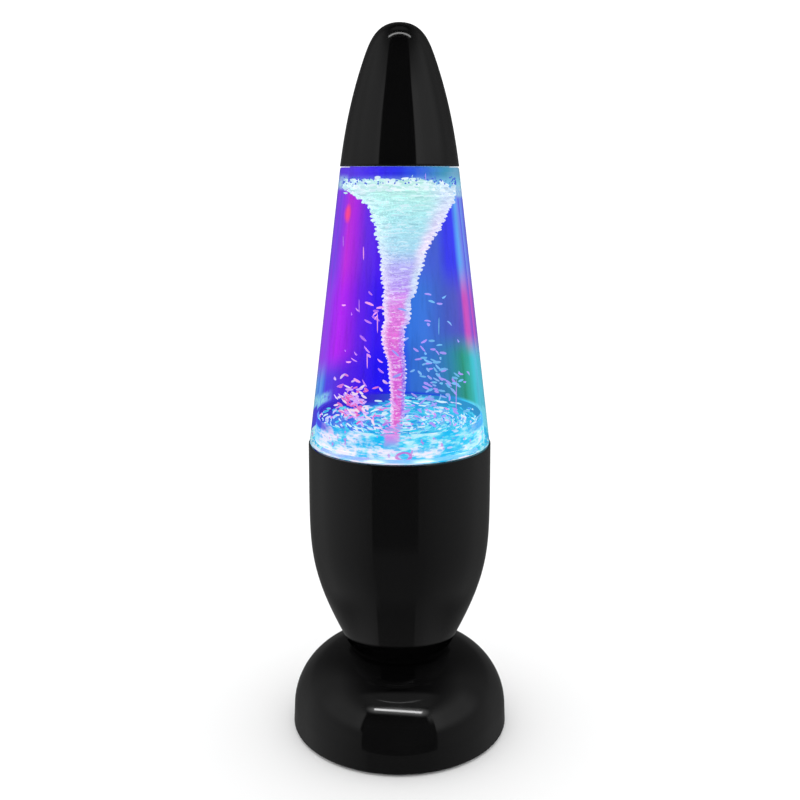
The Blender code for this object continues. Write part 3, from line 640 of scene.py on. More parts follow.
def box_tool(low_corner, high_corner, corner):
    """A box with rounded edges along Y, used as a cutter."""
    bm = bmesh.new()
    size = Vector(high_corner) - Vector(low_corner)
    middle = (Vector(high_corner) + Vector(low_corner)) / 2
    bmesh.ops.create_cube(bm, size=1.0, matrix=Matrix.Translation(middle) @ Matrix.Diagonal((*size, 1.0)))
    along = [edge for edge in bm.edges if abs((edge.verts[0].co - edge.verts[1].co).y) > size.y * 0.9]
    bmesh.ops.bevel(bm, geom=along, offset=corner, segments=5, affect="EDGES", profile=0.5)
    bmesh.ops.scale(bm, verts=bm.verts, vec=(MM, MM, MM))
    mesh = bpy.data.meshes.new("tool")
    bm.to_mesh(mesh)
    bm.free()
    return add_object("tool", mesh)


def lay_along_y(piece, x, z):
    """Turn a lathed piece so that its axis runs along +Y through (x, z) in millimetres."""
    matrix = Matrix.Translation((x * MM, 0, z * MM)) @ Matrix.Rotation(-math.pi / 2, 4, "X")
    piece.data.transform(matrix)
    return piece


def place(piece, body, *nodes, slot=None):
    """Ride a piece on a body and let it stand for CAD nodes. The slot argument is not used."""
    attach(piece, body)
    if nodes:
        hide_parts(*nodes)


# ---- black shells ----

def dome_radius(height, wall):
    """Radius of the dome at a height: a rounded shoulder that runs in to a nearly flat top."""
    crown = 32.9 - 1.15 * wall
    outer = 52.05 - wall
    inner = 8.35 - wall
    if height <= DOME_SHOULDER:
        return outer + (DOME_SHOULDER - height) * 0.055
    rise = min((height - DOME_SHOULDER) / crown, 1.0)
    return inner + (outer - inner) * (1 - rise ** 1.92) ** (1 / 2.51)


def make_dome(black):
    foot = low("dome_base")
    ceiling = SEAT - WALL - 0.2
    steps = 44
    rises = [math.sin(math.pi / 2 * step / steps) for step in range(steps + 1)]
    heights = [DOME_SHOULDER + (SEAT - DOME_SHOULDER) * rise for rise in rises]
    outer = [(dome_radius(foot, 0) - 0.7, foot), (dome_radius(foot, 0) - 0.2, foot + 0.12),
             (dome_radius(foot + 0.5, 0) - 0.02, foot + 0.5)]
    outer += [(dome_radius(height, 0), height) for height in (foot + 1.0, 5.0, *heights)]
    inner = [(SHAFT_HOLE, SEAT), (SHAFT_HOLE, ceiling)]
    inside_heights = (ceiling, 36.0, 32.0, 27.0, 20.0, 13.0, DOME_SHOULDER, foot)
    inner += [(dome_radius(height, WALL), height) for height in inside_heights]
    dome = lathe("dome_shell", outer + inner, [black])
    gap, near, far, radius = 0.45, 44.0, 58.0, 3.8
    left, bottom = low("usb_inlet", 0) - gap, low("usb_inlet") - gap
    right, top = high("usb_inlet", 0) + gap, high("usb_inlet") + gap
    slit = box_tool((left, near, bottom), (right, far, top), 1.4)
    hole = lathe("tool", [(0.0, near), (radius, near), (radius, far), (0.0, far)], [], sides=64)
    subtract(dome, [slit, lay_along_y(hole, *centre_of("power_button", 0, 2))])
    place(dome, "base", "dome_base", slot="gloss_black")


def cup_side(wall, bottom, steps):
    """Side of the cup from the top of its curve down to its floor."""
    start = (42.8 - wall, 118.5)
    end = (24.2 - wall * 0.8, bottom)
    return [start] + bezier(start, (start[0], 89.2), (end[0] + 18.9, end[1] + 37.1), end, steps)


def make_cup(black):
    inside = CUP_FLOOR + WALL + 0.5
    outer = [(RIM_RADIUS - 0.55, RIM), (RIM_RADIUS - 0.2, RIM - 0.1), (RIM_RADIUS, RIM - 0.5),
             (RIM_RADIUS + 0.003, RIM - 0.9), (RIM_RADIUS + 0.01, RIM - 2.0), (RIM_RADIUS + 0.1, 131.0),
             (RIM_RADIUS + 0.15, 124.0)]
    outer += cup_side(0, CUP_FLOOR + 0.5, 52)
    outer += [(24.0, CUP_FLOOR + 0.12), (23.5, CUP_FLOOR), (SHAFT_HOLE, CUP_FLOOR), (SHAFT_HOLE, inside)]
    inner = list(reversed(cup_side(WALL, inside, 24)))
    outline = outer + inner + [(RIM_RADIUS - WALL, RIM - 0.3), (RIM_RADIUS - WALL + 0.3, RIM)]
    cup = lathe("cup_shell", list(reversed(outline)), [black])
    place(cup, "base", "cup", slot="gloss_black")


def cap_curve(wall, coarse=1):
    """Outer or inner face of the cap, from its open edge up to the axis."""
    start = (26.35 - wall, CAP_EDGE)
    bend = (15.1 - wall * 0.95, 315.0 - wall * 0.3)
    top = (0.0, TOP - wall)
    side = bezier(start, (24.15 - wall, 284.0), (20.95 - wall, 299.2), bend, 36 // coarse)
    handle = (12.7 - wall * 0.9, 321.3 - wall * 0.5)
    nose = bezier(bend, handle, (9.66 - wall * 0.6, top[1]), top, 26 // coarse)
    return [start] + side + nose


def make_cap(black):
    (edge, bottom), *rest = cap_curve(0)
    outer = [(edge - 0.5, bottom), (edge - 0.12, bottom + 0.12), (edge - 0.02, bottom + 0.5)] + rest
    inner = list(reversed(cap_curve(1.8, 2)))
    cap = lathe("cap_shell", outer + inner, [black])
    place(cap, "cap", "top_cap", slot="gloss_black")


# ---- bottle and its contents ----

def bottle_radius(height):
    taper = (BOTTLE_FOOT_RADIUS - 26.2) / (CAP_EDGE - RIM)
    return BOTTLE_FOOT_RADIUS - (height - RIM) * taper


def tank_radius(height):
    return bottle_radius(height) - GLASS


def make_bottle(outside, inside):
    shoulder = CAP_EDGE - 0.3
    foot = RIM + 0.3
    neck = high("stopper", 0) + 0.4
    outer = [(SPIGOT_RADIUS - 1.4, SPIGOT_BOTTOM), (SPIGOT_RADIUS, SPIGOT_BOTTOM + 0.8),
             (SPIGOT_RADIUS, foot), (bottle_radius(foot) - 0.3, foot),
             (bottle_radius(foot + 0.3), foot + 0.3)]
    outer += [(bottle_radius(height), height) for height in np.linspace(foot + 4, shoulder - 0.8, 22)]
    outer += [(bottle_radius(shoulder) - 0.15, shoulder - 0.2), (bottle_radius(shoulder) - 0.6, shoulder),
              (neck, shoulder), (neck, NECK_TOP)]
    ledge, spigot_inside = 144.7, SPIGOT_RADIUS - 1.8
    inner = [(neck - GLASS, NECK_TOP), (neck - GLASS, shoulder + 1.0), (tank_radius(266.0), 265.5),
             (tank_radius(ledge), ledge), (spigot_inside, ledge), (spigot_inside, SPIGOT_BOTTOM)]
    slots = [0] * (len(outer) - 1) + [1] * (len(inner) + 1)
    bottle = lathe("clear_bottle", outer + inner, [outside, inside], slots)
    place(bottle, "bottle", "bottle", slot="clear_plastic")


def corner_start():
    """Radius at which the flat floor of the bottle runs into its rounded corner."""
    return tank_radius(CORNER_TOP) - 1.2 - CORNER_RADIUS


def floor_corner(gap):
    """Rounded corner of the bottle's floor, from the wall down and in, moved inwards by a gap."""
    steps = 14
    radius = CORNER_RADIUS - gap
    angles = [math.pi / 2 * step / steps for step in range(steps + 1)]
    return [(corner_start() + radius * math.cos(a), CORNER_TOP - radius * math.sin(a)) for a in angles]


def make_floor(rim, clear, lit):
    bottom, thick, fit = 145.0, 1.8, 0.4
    boss = WELL_RADIUS + thick
    notch = SPIGOT_RADIUS - 1.4
    step = bottom + 1.6
    shelf = CORNER_TOP - 1.2
    well = WELL_BOTTOM + thick
    under = [(0.0, WELL_BOTTOM), (boss - 0.6, WELL_BOTTOM), (boss, WELL_BOTTOM + 0.6), (boss, bottom),
             (notch, bottom), (notch, step)]
    side = [(tank_radius(height) - fit, height) for height in (step, shelf)]
    corner = [(tank_radius(CORNER_TOP) - fit, CORNER_TOP)]
    top = floor_corner(0.0)
    top += [(WELL_RADIUS + 0.8, TANK_FLOOR), (WELL_RADIUS, TANK_FLOOR - 0.8), (WELL_RADIUS, well + 0.8),
            (WELL_RADIUS - 0.8, well), (0.9, well), (0.9, well - 0.9), (0.0, well - 0.9)]
    slots = [1] * (len(under) - 1) + [0, 0] + [1] * 2 + [2] * (len(top) - 1)
    floor = lathe("lit_bottle_floor", under + side + corner + top, [rim, clear, lit], slots)
    place(floor, "bottle", "bottle_floor", slot="clear_plastic")
    seal_low, seal_high = low("bottle_seal"), high("bottle_seal")
    outline = rounded([(notch + 0.3, seal_low), (notch + 1.4, seal_low), (notch + 1.4, seal_high),
                       (notch + 0.3, seal_high)], 0.4)
    place(lathe("seal_ring", outline, [rim]), "bottle", "bottle_seal", slot="rubber")


def make_liquid(glow, clear):
    """The liquid's outer face, a closed solid that fills the tank down to its rounded corner."""
    heights = np.linspace(CORNER_TOP + 0.3, LIQUID_TOP, 24)
    wall = [(tank_radius(height) - 0.12, height) for height in heights]
    corner = list(reversed(floor_corner(0.3)))
    base = [(0.0, TANK_FLOOR + 0.3)] + corner
    top = [(tank_radius(LIQUID_TOP) - 0.8, LIQUID_TOP + 0.2), (0.0, LIQUID_TOP + 0.2)]
    slots = [1] * (len(base)) + [0] * (len(wall) + 2)
    liquid = lathe("liquid_body", base + wall + top, [glow, clear], slots)
    place(liquid, "bottle", "liquid", slot="liquid")


# ---- glitter ----

# Radius of the funnel and how far it leans off the axis, by height.
FUNNEL = [(141.5, 2.9, -1.4), (148.0, 2.9, -1.4), (157.7, 3.0, -1.0), (164.9, 3.2, -0.9),
          (174.3, 3.9, -1.0), (180.5, 3.9, -1.3), (185.0, 4.4, -2.6), (189.3, 5.1, -3.0),
          (196.3, 5.2, -3.0), (200.0, 6.0, -0.8), (204.6, 6.1, -1.4), (209.1, 6.4, -1.3),
          (213.7, 7.6, 0.4), (218.2, 8.2, 0.0), (222.7, 9.3, 0.7), (228.2, 10.0, 1.6),
          (231.8, 11.3, 1.2), (235.3, 12.5, 2.6), (238.0, 13.5, 2.2), (241.1, 15.0, 3.8),
          (244.6, 16.3, 3.8), (248.6, 18.2, 4.2), (252.1, 20.4, 4.4), (254.4, 22.4, 3.2),
          (256.6, 24.4, 1.2), (259.2, 25.2, 0.0)]


def funnel_at(height):
    heights = [row[0] for row in FUNNEL]
    radius = float(np.interp(height, heights, [row[1] for row in FUNNEL]))
    lean = float(np.interp(height, heights, [row[2] for row in FUNNEL]))
    return radius, lean


def funnel_rows(rise):
    """Height, radius and lean of the funnel, from row to row."""
    height = FUNNEL[0][0] + 1.5
    while height < FUNNEL[-1][0] - 0.5:
        yield (height, *funnel_at(height))
        height += rise


FLAKE_OUTLINE = [(1.0, 0.0), (0.72, 0.72), (0.0, 1.0), (-0.72, 0.72), (-1.0, 0.0), (-0.72, -0.72),
                 (0.0, -1.0), (0.72, -0.72)]
FLAKE_THICKNESS = 0.16


def flakes(name, places, material):
    """Thin pearl flakes that turn with the impeller, one closed chip at each place. A place gives the
    centre, the length's axis, the width's axis, the length and the width."""
    verts, faces = [], []
    sides = len(FLAKE_OUTLINE)
    for centre, along, across, length, width in places:
        along = along.normalized()
        normal = along.cross(across).normalized()
        across = normal.cross(along)
        first = len(verts)
        for side in (-0.5, 0.5):
            for u, v in FLAKE_OUTLINE:
                bow = -0.10 * length * u * u
                point = centre + along * (u * length / 2) + across * (v * width / 2)
                verts.append(tuple(point + normal * (side * FLAKE_THICKNESS + bow)))
        faces.append(tuple(first + sides - 1 - k for k in range(sides)))
        faces.append(tuple(first + sides + k for k in range(sides)))
        for k in range(sides):
            after = (k + 1) % sides
            faces.append((first + k, first + after, first + sides + after, first + sides + k))
    place(new_object(name, verts, faces, [material], sharp=60.0), "impeller", slot="glitter")


def swirl_flake(rng, radius, angle, height, lean, *ranges, scale=1.0):
    """A flake on a circle round the axis, lying along its path. ranges are those of its slope, turn, length
    and width."""
    slope, turn, length, width = [rng.uniform(*pair) for pair in ranges]
    outward = Vector((math.cos(angle), math.sin(angle), 0.0))
    tangent = Vector((-math.sin(angle), math.cos(angle), 0.0))
    centre = outward * radius + Vector((lean, 0.0, height))
    along = tangent + outward * turn + Vector((0.0, 0.0, slope))
    across = Vector((0.0, 0.0, 1.0)) + outward * rng.uniform(-0.9, 0.9)
    return (centre, along, across, length * scale, width)


def make_funnel_core(material):
    """The dense middle of the funnel, a closed turned body that leans and ripples."""
    sides, rows = 72, 150
    rng = random.Random(3)
    phases = [rng.uniform(0, math.tau) for _ in range(4)]
    verts, faces = [], []
    bottom, top = FUNNEL[0][0] + 1.0, FUNNEL[-1][0] - 0.6
    for row in range(rows + 1):
        height = bottom + (top - bottom) * row / rows
        radius, lean = funnel_at(height)
        for step in range(sides):
            angle = math.tau * step / sides
            ripple = 0.05 * math.sin(5 * angle + height * 1.9 + phases[0])
            ripple += 0.04 * math.sin(9 * angle - height * 2.7 + phases[1])
            ripple += 0.03 * math.sin(height * 4.1 + phases[2] + 3 * angle)
            verts.append(ring_point(radius * (0.84 + ripple), angle, height, (lean, 0.0)))
    for row in range(rows):
        for step in range(sides):
            after = (step + 1) % sides
            a, b = row * sides + step, row * sides + after
            faces.append((a, b, b + sides, a + sides))
    faces.append(tuple(reversed(range(sides))))
    faces.append(tuple(range(rows * sides, (rows + 1) * sides)))
    core = new_object("glitter_core", verts, faces, [material], sharp=60.0)
    place(core, "impeller", "glitter_vortex", slot="glitter")


def make_funnel_flakes(inner_material, fringe_material):
    """Thin flakes that lie along the funnel's surface, and a fringe of short ones like teeth."""
    rng = random.Random(11)
    inner, fringe = [], []
    for height, radius, lean in funnel_rows(0.8):
        scale = min(1.0, 0.5 + radius / 16)
        count = max(7, int(math.tau * radius / 3.0))
        for step in range(count):
            angle = math.tau * (step + rng.random()) / count
            reach, rise = radius * rng.uniform(0.86, 0.95), rng.uniform(-0.5, 0.5)
            inner.append(swirl_flake(rng, reach, angle, height + rise, lean, (-0.12, 0.20), (-0.12, 0.12),
                                     (4.0, 7.2), (0.6, 1.05), scale=scale))
    for row, (height, radius, lean) in enumerate(funnel_rows(2.0)):
        scale = min(1.0, 0.6 + radius / 30)
        count = max(10, int(math.tau * radius / 1.9))
        wave = 1.0 + 0.03 * math.sin(height * 0.9) + rng.uniform(-0.03, 0.03)
        for step in range(count):
            angle = math.tau * (step + 0.5 * (row % 2) + rng.uniform(-0.2, 0.2)) / count
            rise = rng.uniform(-0.3, 0.3)
            fringe.append(swirl_flake(rng, radius * 0.93 * wave, angle, height + rise, lean, (-0.5, 0.1),
                                      (1.0, 1.8), (2.4, 3.4), (0.8, 1.1), scale=scale))
    flakes("funnel_flakes_1", inner, inner_material)
    flakes("funnel_flakes_2", fringe, fringe_material)


def make_loose_flakes(material):
    """Flakes drifting between the funnel and the wall, thicker low down, with a clump on the left."""
    rng = random.Random(23)
    places = []
    while len(places) < 150:
        height = 151.5 + 60.0 * rng.random() ** 2.4
        limit = tank_radius(height) - 4.0
        inner = funnel_at(height)[0] + 3.0
        radius = math.sqrt(rng.uniform(inner ** 2, limit ** 2))
        angle = rng.uniform(0, math.tau)
        if height < CORNER_TOP and radius > limit - 6.0:
            continue
        places.append(swirl_flake(rng, radius, angle, height, 0.0, (-0.9, 0.9), (-0.7, 0.7), (3.0, 4.8),
                                  (0.9, 1.4)))
    for count, middle, spread in ((80, (-21.5, -10.0, 163.5), (4.0, 4.5, 4.4)),
                                  (58, (16.0, -6.0, 172.0), (8.5, 7.0, 7.5))):
        for _ in range(count):
            centre = Vector([rng.gauss(*pair) for pair in zip(middle, spread)])
            in_reach = centre.xy.length <= 33.0 and 151.0 < centre.z < 190.0
            if not in_reach or abs(centre.x) < 6.0:
                continue
            along = Vector((rng.uniform(0.3, 1), rng.uniform(-0.5, 0.5), rng.uniform(-0.9, 0.3)))
            across = Vector((rng.uniform(-0.4, 0.4), rng.uniform(-0.4, 0.4), 1.0))
            places.append((centre, along, across, rng.uniform(2.2, 4.0), rng.uniform(0.8, 1.3)))
    for x, z, length in ((-17.5, 209.5, 6.0), (-14.0, 186.5, 7.0), (-9.5, 203.0, 9.0), (17.0, 201.0, 8.0),
                         (25.0, 170.0, 15.0), (11.0, 264.0, 3.0), (-25.0, 236.0, 5.0), (-15.5, 232.0, 6.0)):
        y = -math.sqrt((tank_radius(z) - 3.0) ** 2 - x * x)
        places.append((Vector((x, y, z)), Vector((0.0, 0.0, 1.0)), Vector((1.0, 0.0, 0.0)), length, 0.45))
    flakes("loose_flakes", places, material)


def make_floor_flakes(material):
    """Flakes swept round over the floor of the bottle and a little way up its corner."""
    rng = random.Random(31)
    flat = corner_start()
    places = []
    for _ in range(1350):
        radius = 4.0 + 34.0 * math.sqrt(rng.random())
        lift = rng.random() ** 2.2 * 8.0 * min(1.0, (39.0 - radius) / 14.0)
        height = TANK_FLOOR + 0.8 + lift
        if radius > flat:
            height += CORNER_RADIUS - math.sqrt(CORNER_RADIUS ** 2 - min(radius - flat, 8.6) ** 2)
        angle = rng.uniform(0, math.tau)
        spare = 0.25 + 0.45 * max(-math.cos(angle), 0.0) if math.sin(angle) > -0.3 else 0.0
        if rng.random() < spare or height > CORNER_TOP - 1.5 and math.sin(angle) < 0.3:
            continue
        places.append(swirl_flake(rng, radius, angle, height, 0.0, (-0.10, 0.12), (-0.25, 0.25), (3.6, 6.6),
                                  (0.7, 1.2)))
    flakes("floor_flakes", places, material)


def make_raft(material):
    """Flakes gathered under the liquid's surface, a ragged layer that dips to the right."""
    rng = random.Random(47)
    places = []
    for _ in range(1300):
        radius = (tank_radius(260.0) - 0.4) * math.sqrt(rng.random())
        angle = rng.uniform(0, math.tau)
        across = radius * math.cos(angle) / 24.0
        height = 259.6 - 1.4 * max(across, 0.0) ** 2 - 0.4 * across + rng.gauss(0.0, 1.25)
        height = min(height, LIQUID_TOP - 1.2)
        radius = min(radius, tank_radius(height) - 0.45)
        places.append(swirl_flake(rng, radius, angle, height, 0.0, (-0.2, 0.2), (-0.6, 0.6), (2.4, 3.8),
                                  (0.9, 1.4)))
    flakes("surface_flakes", places, material)


def make_bubbles():
    """Small bubbles caught against the wall over the flakes, painted with a dim blue glow."""
    n = Nodes("bubble")
    tone = n.mix(n.noise(900.0, 2.0), srgb(48, 60, 216), srgb(80, 130, 236))
    material = n.glowing((0.01, 0.01, 0.05, 1.0), 0.15, tone, 0.8)
    rng = random.Random(5)
    bm = bmesh.new()
    for _ in range(150):
        height = 260.8 + rng.random() ** 1.3 * 3.0
        size = rng.uniform(0.18, 0.40)
        angle = rng.uniform(0, math.tau)
        radius = tank_radius(height) - 0.3 - size
        matrix = Matrix.Translation(ring_point(radius, angle, height))
        bmesh.ops.create_icosphere(bm, subdivisions=2, radius=size, matrix=matrix)
    verts = [tuple(vert.co) for vert in bm.verts]
    bm.verts.index_update()
    faces = [tuple(vert.index for vert in face.verts) for face in bm.faces]
    bm.free()
    piece = new_object("bubbles", verts, faces, [material], sharp=180.0)
    place(piece, "bottle", slot="liquid")


# ---- small pieces ----

def make_button(black):
    """Round push button with a dished face."""
    back, face = low("power_button", 1), high("power_button", 1)
    radius, flange = 3.4, 4.6
    outline = [(0.0, back), (flange, back), (flange, back + 1.2), (radius, back + 1.2),
               (radius, face - 0.5), (radius - 0.15, face - 0.15), (radius - 0.5, face),
               (radius - 0.8, face), (radius - 1.4, face - 0.25), (1.0, face - 0.45), (0.0, face - 0.48)]
    button = lathe("button_cap", outline, [black], sides=64)
    lay_along_y(button, *centre_of("power_button", 0, 2))
    place(button, "button", "power_button", slot="gloss_black")


def make_feet(material):
    foot_top = high("rubber_foot_1")
    outline = [(0.0, 0.35), (2.6, 0.35), (3.0, 0.0), (4.4, 0.0), (4.8, 0.12), (5.0, 0.45), (5.0, foot_top),
               (0.0, foot_top)]
    for number in range(1, 5):
        node = f"rubber_foot_{number}"
        piece = lathe(f"foot_{number}", outline, [material], sides=64, centre=centre_of(node, 0, 1))
        place(piece, "base", node, slot="rubber")


def make_diffuser(material):
    bottom, top = low("diffuser"), high("diffuser")
    outline = rounded([(13.0, bottom), (37.2, bottom), (37.2, top), (13.0, top)], 0.3)
    piece = lathe("diffuser_disc", outline, [material])
    place(piece, "base", "diffuser", slot="white_plastic")


def paint(material, *names):
    """Give a better material to CAD nodes that stay."""
    for name in names:
        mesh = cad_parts[name].data
        mesh.materials.clear()
        mesh.materials.append(material)


def numbered(stem, count):
    return [f"{stem}_{number}" for number in range(1, count + 1)]


def paint_inside():
    """Materials of the CAD nodes that are shown as they are."""
    inner = moulded("inner_black_plastic", srgb(34, 34, 36), 0.45)
    paint(inner, "base_plate", "battery_door", "motor_mount")
    for name, tone, roughness, node in (("switch_plastic", (24, 24, 26), 0.35, "power_switch"),
                                        ("lead_sleeve", (20, 20, 22), 0.4, "motor_leads"),
                                        ("lead_sleeve_red", (140, 24, 22), 0.4, "led_leads")):
        paint(moulded(name, srgb(*tone), roughness, 0.1), node)
    white = moulded("white_plastic", srgb(222, 222, 218), 0.45, 0.2, 0.06)
    paint(white, "reflector", "drive_hub", "stopper")
    paint(moulded("impeller_plastic", srgb(236, 214, 240), 0.35, 0.1, 0.08), "impeller")
    paint(moulded("seal_rubber", srgb(40, 40, 42), 0.8, 0.3), "stopper_seal")
    screws = numbered("cup_screw", 3) + numbered("plate_screw", 3) + numbered("mount_screw", 3)
    paint(metal("zinc_screw", srgb(176, 176, 180), 0.34), *screws)
    springs = numbered("battery_spring", 3) + numbered("battery_contact", 3)
    paint(metal("nickel_spring", srgb(206, 204, 198), 0.22), *springs)
    paint(metal("inlet_shell", srgb(198, 200, 204), 0.24), "usb_inlet")
    paint(metal("ground_steel", srgb(190, 190, 194), 0.18), "motor_shaft", "impeller_pin")
    paint(metal("motor_can", srgb(184, 186, 188), 0.28), "motor")
    magnets = numbered("drive_magnet", 2) + numbered("impeller_magnet", 2)
    paint(metal("nickel_magnet", srgb(170, 170, 174), 0.2, (200.0, 200.0, 200.0)), *magnets)
    paint(circuit_board("green_board", srgb(12, 88, 48), srgb(22, 124, 70)), "control_board")
    paint(circuit_board("white_board", srgb(214, 214, 210), srgb(190, 192, 190)), "led_board")
    paint(cell_jacket(), *numbered("battery_cell", 3))
    colours = [srgb(80, 90, 255), srgb(40, 200, 255), srgb(230, 60, 220)]
    for number in range(6):
        paint(led_lens(f"led_lens_{number + 1}", colours[number % 3]), f"led_{number + 1}")


# ---- floor, light and camera ----

def studio_panels(n, direction, narrow=1.0):
    """Brightness of the studio by direction: a wide panel on each side, dark between, dim overhead."""
    x, y, z = n.add("SeparateXYZ", direction).outputs
    flat = n.maths("MAXIMUM", n.length(x, y), 0.0001)
    right = n.times(n.over(x, flat), 1.0 / narrow)
    left = n.times(right, -1.0)
    behind = n.over(y, flat)
    widening = n.plus(n.remap(z, 0.0, 0.2, 0.0, 0.15), n.remap(z, 0.55, 0.85, 0.0, 0.15))
    on_left = n.remap(n.maths("MULTIPLY_ADD", widening, -0.65, left), 0.545, 0.580)
    on_right = n.remap(n.minus(right, widening), 0.375, 0.410)
    lit = n.maths("MAXIMUM", n.maths("MAXIMUM", on_left, on_right), n.remap(behind, -0.15, 0.25))
    level = n.ramp(n.maths("MULTIPLY_ADD", right, 0.5, 0.5), [
        (0.0, 0.34), (0.2, 0.165), (0.5, 0.08), (0.75, 0.11), (1.0, 0.25)])
    level = n.times(level, n.remap(behind, 0.3, 0.97, 1.0, 0.2))
    high_up = n.times(n.remap(z, 0.05, 0.30), n.remap(z, 0.76, 0.50), n.remap(behind, 0.3, -0.15))
    gain = n.ramp(n.maths("MULTIPLY_ADD", right, 0.5, 0.5), [
        (0.0, 0.10), (0.1, 0.22), (0.2, 0.56), (0.78, 1.0), (0.9, 0.46), (1.0, 0.24)])
    gain = n.times(gain, high_up, 5.0)
    level = n.maths("MULTIPLY_ADD", level, gain, level)
    level = n.times(level, n.remap(z, -0.15, -0.5, 1.0, 0.78))
    lower_gap = n.times(n.remap(z, -0.37, -0.44, 0.0, 0.075), n.minus(1.0, lit))
    dark = n.plus(n.remap(z, 0.0, 0.2, 0.105, 0.055), lower_gap)
    level = n.plus(n.times(level, lit), dark)
    level = n.times(level, n.remap(z, 0.64, 0.98, 1.0, 0.14))
    overhead = n.times(n.remap(z, 0.90, 0.98), n.remap(behind, 0.0, 0.4, 0.0, 0.2))
    return n.plus(level, overhead)


def make_world():
    """White surroundings. The lamp's gloss sees the studio's panels in their place."""
    world = bpy.data.worlds.new("studio")
    bpy.context.scene.world = world
    n = Nodes("studio", world)
    above_white = 1.18
    white = n.add("Background", WHITE, above_white)
    panels = n.add("Background", grey(0.8), studio_panels(n, n.add("TexCoord").outputs["Generated"]))
    mirrored = n.add("LightPath").outputs["Is Glossy Ray"]
    n.finish(n.mix_shader(mirrored, white.outputs[0], panels.outputs[0]))


def stage_mesh(name, verts, faces, material):
    mesh = bpy.data.meshes.new(name)
    mesh.from_pydata(verts, [], faces)
    mesh.materials.append(material)
    made = add_object(name, mesh)
    return made


def only_in_reflections(card):
    """A card that the lamp's gloss mirrors and that nothing else sees."""
    card.visible_camera = False
    card.visible_diffuse = False
    card.visible_transmission = False
    card.visible_volume_scatter = False
    card.visible_shadow = False


def make_floor_stage():
    """Pale studio floor. The lamp's gloss mirrors the studio's panels in its place."""
    n = Nodes("studio_floor")
    grain = n.noise(3.0, 2.0)
    tone = n.mix(grain, (0.95, 0.95, 0.95, 1.0), (0.98, 0.98, 0.98, 1.0))
    material = n.surface(Base_Color=tone, Roughness=0.9, Specular_IOR_Level=0.0)
    reach, level = 6.0, -0.0002
    corners = [(x * reach, y * reach, level) for x, y in ((-1, -1), (1, -1), (1, 1), (-1, 1))]
    floor = stage_mesh("studio_floor", corners, [(0, 1, 2, 3)], material)
    floor.visible_glossy = False


def flattened(n):
    """Direction of a point from the lamp's axis, level with the floor."""
    return n.add("CombineXYZ", *n.axes()[:2]).outputs[0]


def strip_card(name, pairs, material, closed=False):
    """A strip between pairs of points, seen only in reflections."""
    verts = [point for pair in pairs for point in pair]
    count = len(verts)
    rungs = range(len(pairs) if closed else len(pairs) - 1)
    faces = [(2 * k, 2 * k + 1, (2 * k + 3) % count, (2 * k + 2) % count) for k in rungs]
    only_in_reflections(stage_mesh(name, verts, faces, material))


def make_base_card():
    """A one-sided card that keeps the panels' reflection going down to the foot of the cup."""
    n = Nodes("base_card")
    x, y, _ = n.axes()
    gap = n.length(x, n.plus(y, 0.003))
    outside = n.remap(gap, 0.0288, 0.0302)
    sideways = n.over(n.size(x), n.from_axis())
    panels = n.maths("MULTIPLY_ADD", studio_panels(n, flattened(n), 0.78), 0.62, 0.035)
    panels = n.times(panels, n.remap(sideways, 0.45, 1.0, 1.0, 0.42))
    shown = n.emission(WHITE, n.times(panels, outside))
    hidden = n.maths("MAXIMUM", n.facing_away(), n.remap(gap, 0.050, 0.077))
    material = n.finish(n.mix_shader(hidden, shown, n.clear()))
    steps, level = 96, (SEAT + 0.45) * MM
    angles = [math.tau * step / steps for step in range(steps)]
    pairs = [[ring_point(radius, angle, level) for radius in (0.0255, 0.078)] for angle in angles]
    strip_card("base_card", pairs, material, closed=True)


def make_light_card(name, middle, aim, size, core, glow, spread, roll=0.0):
    """A bright strip, bent round the point it is aimed at, with a soft glow. It is seen only in reflections
    and only from near that point. Sizes are in metres."""
    n = Nodes(name)
    x, y, _ = n.axes()
    width, height = size
    inside_x = n.remap(n.size(x), width / 2, width / 2 * 0.96)
    inside_y = n.remap(n.size(y), height / 2, height / 2 * 0.7)
    strength = n.times(inside_x, inside_y, core)
    reach = (width / 2 + spread, height / 2 + spread)
    far_x = n.remap(n.size(x), width / 2 * 0.85, reach[0], 1.0, 0.0)
    far_y = n.remap(n.size(y), 0.0, reach[1], 1.0, 0.0)
    halo = n.times(far_x, n.maths("POWER", far_y, 2.0), glow)
    strength = n.plus(strength, halo)
    turned_away = n.add("LayerWeight").outputs["Facing"]
    share = n.maths("MINIMUM", n.times(strength, 2.0), 1.0)
    share = n.times(share, n.remap(turned_away, 0.030, 0.015))
    material = n.finish(n.mix_shader(share, n.clear(), n.emission(WHITE, strength)))
    ahead = Vector(aim) - Vector(middle)
    distance, columns = ahead.length, 16
    verts = []
    for column in range(columns + 1):
        angle = math.asin(reach[0] / distance) * (2 * column / columns - 1)
        place_x, place_z = distance * math.sin(angle), distance * (1 - math.cos(angle))
        verts += [(place_x, -reach[1], place_z), (place_x, reach[1], place_z)]
    strips = [(2 * k, 2 * k + 2, 2 * k + 3, 2 * k + 1) for k in range(columns)]
    card = stage_mesh(name, verts, strips, material)
    card.location = middle
    facing = ahead.to_track_quat("Z", "Y").to_matrix().to_4x4()
    card.rotation_euler = (facing @ Matrix.Rotation(math.radians(roll), 4, "Z")).to_euler()
    only_in_reflections(card)


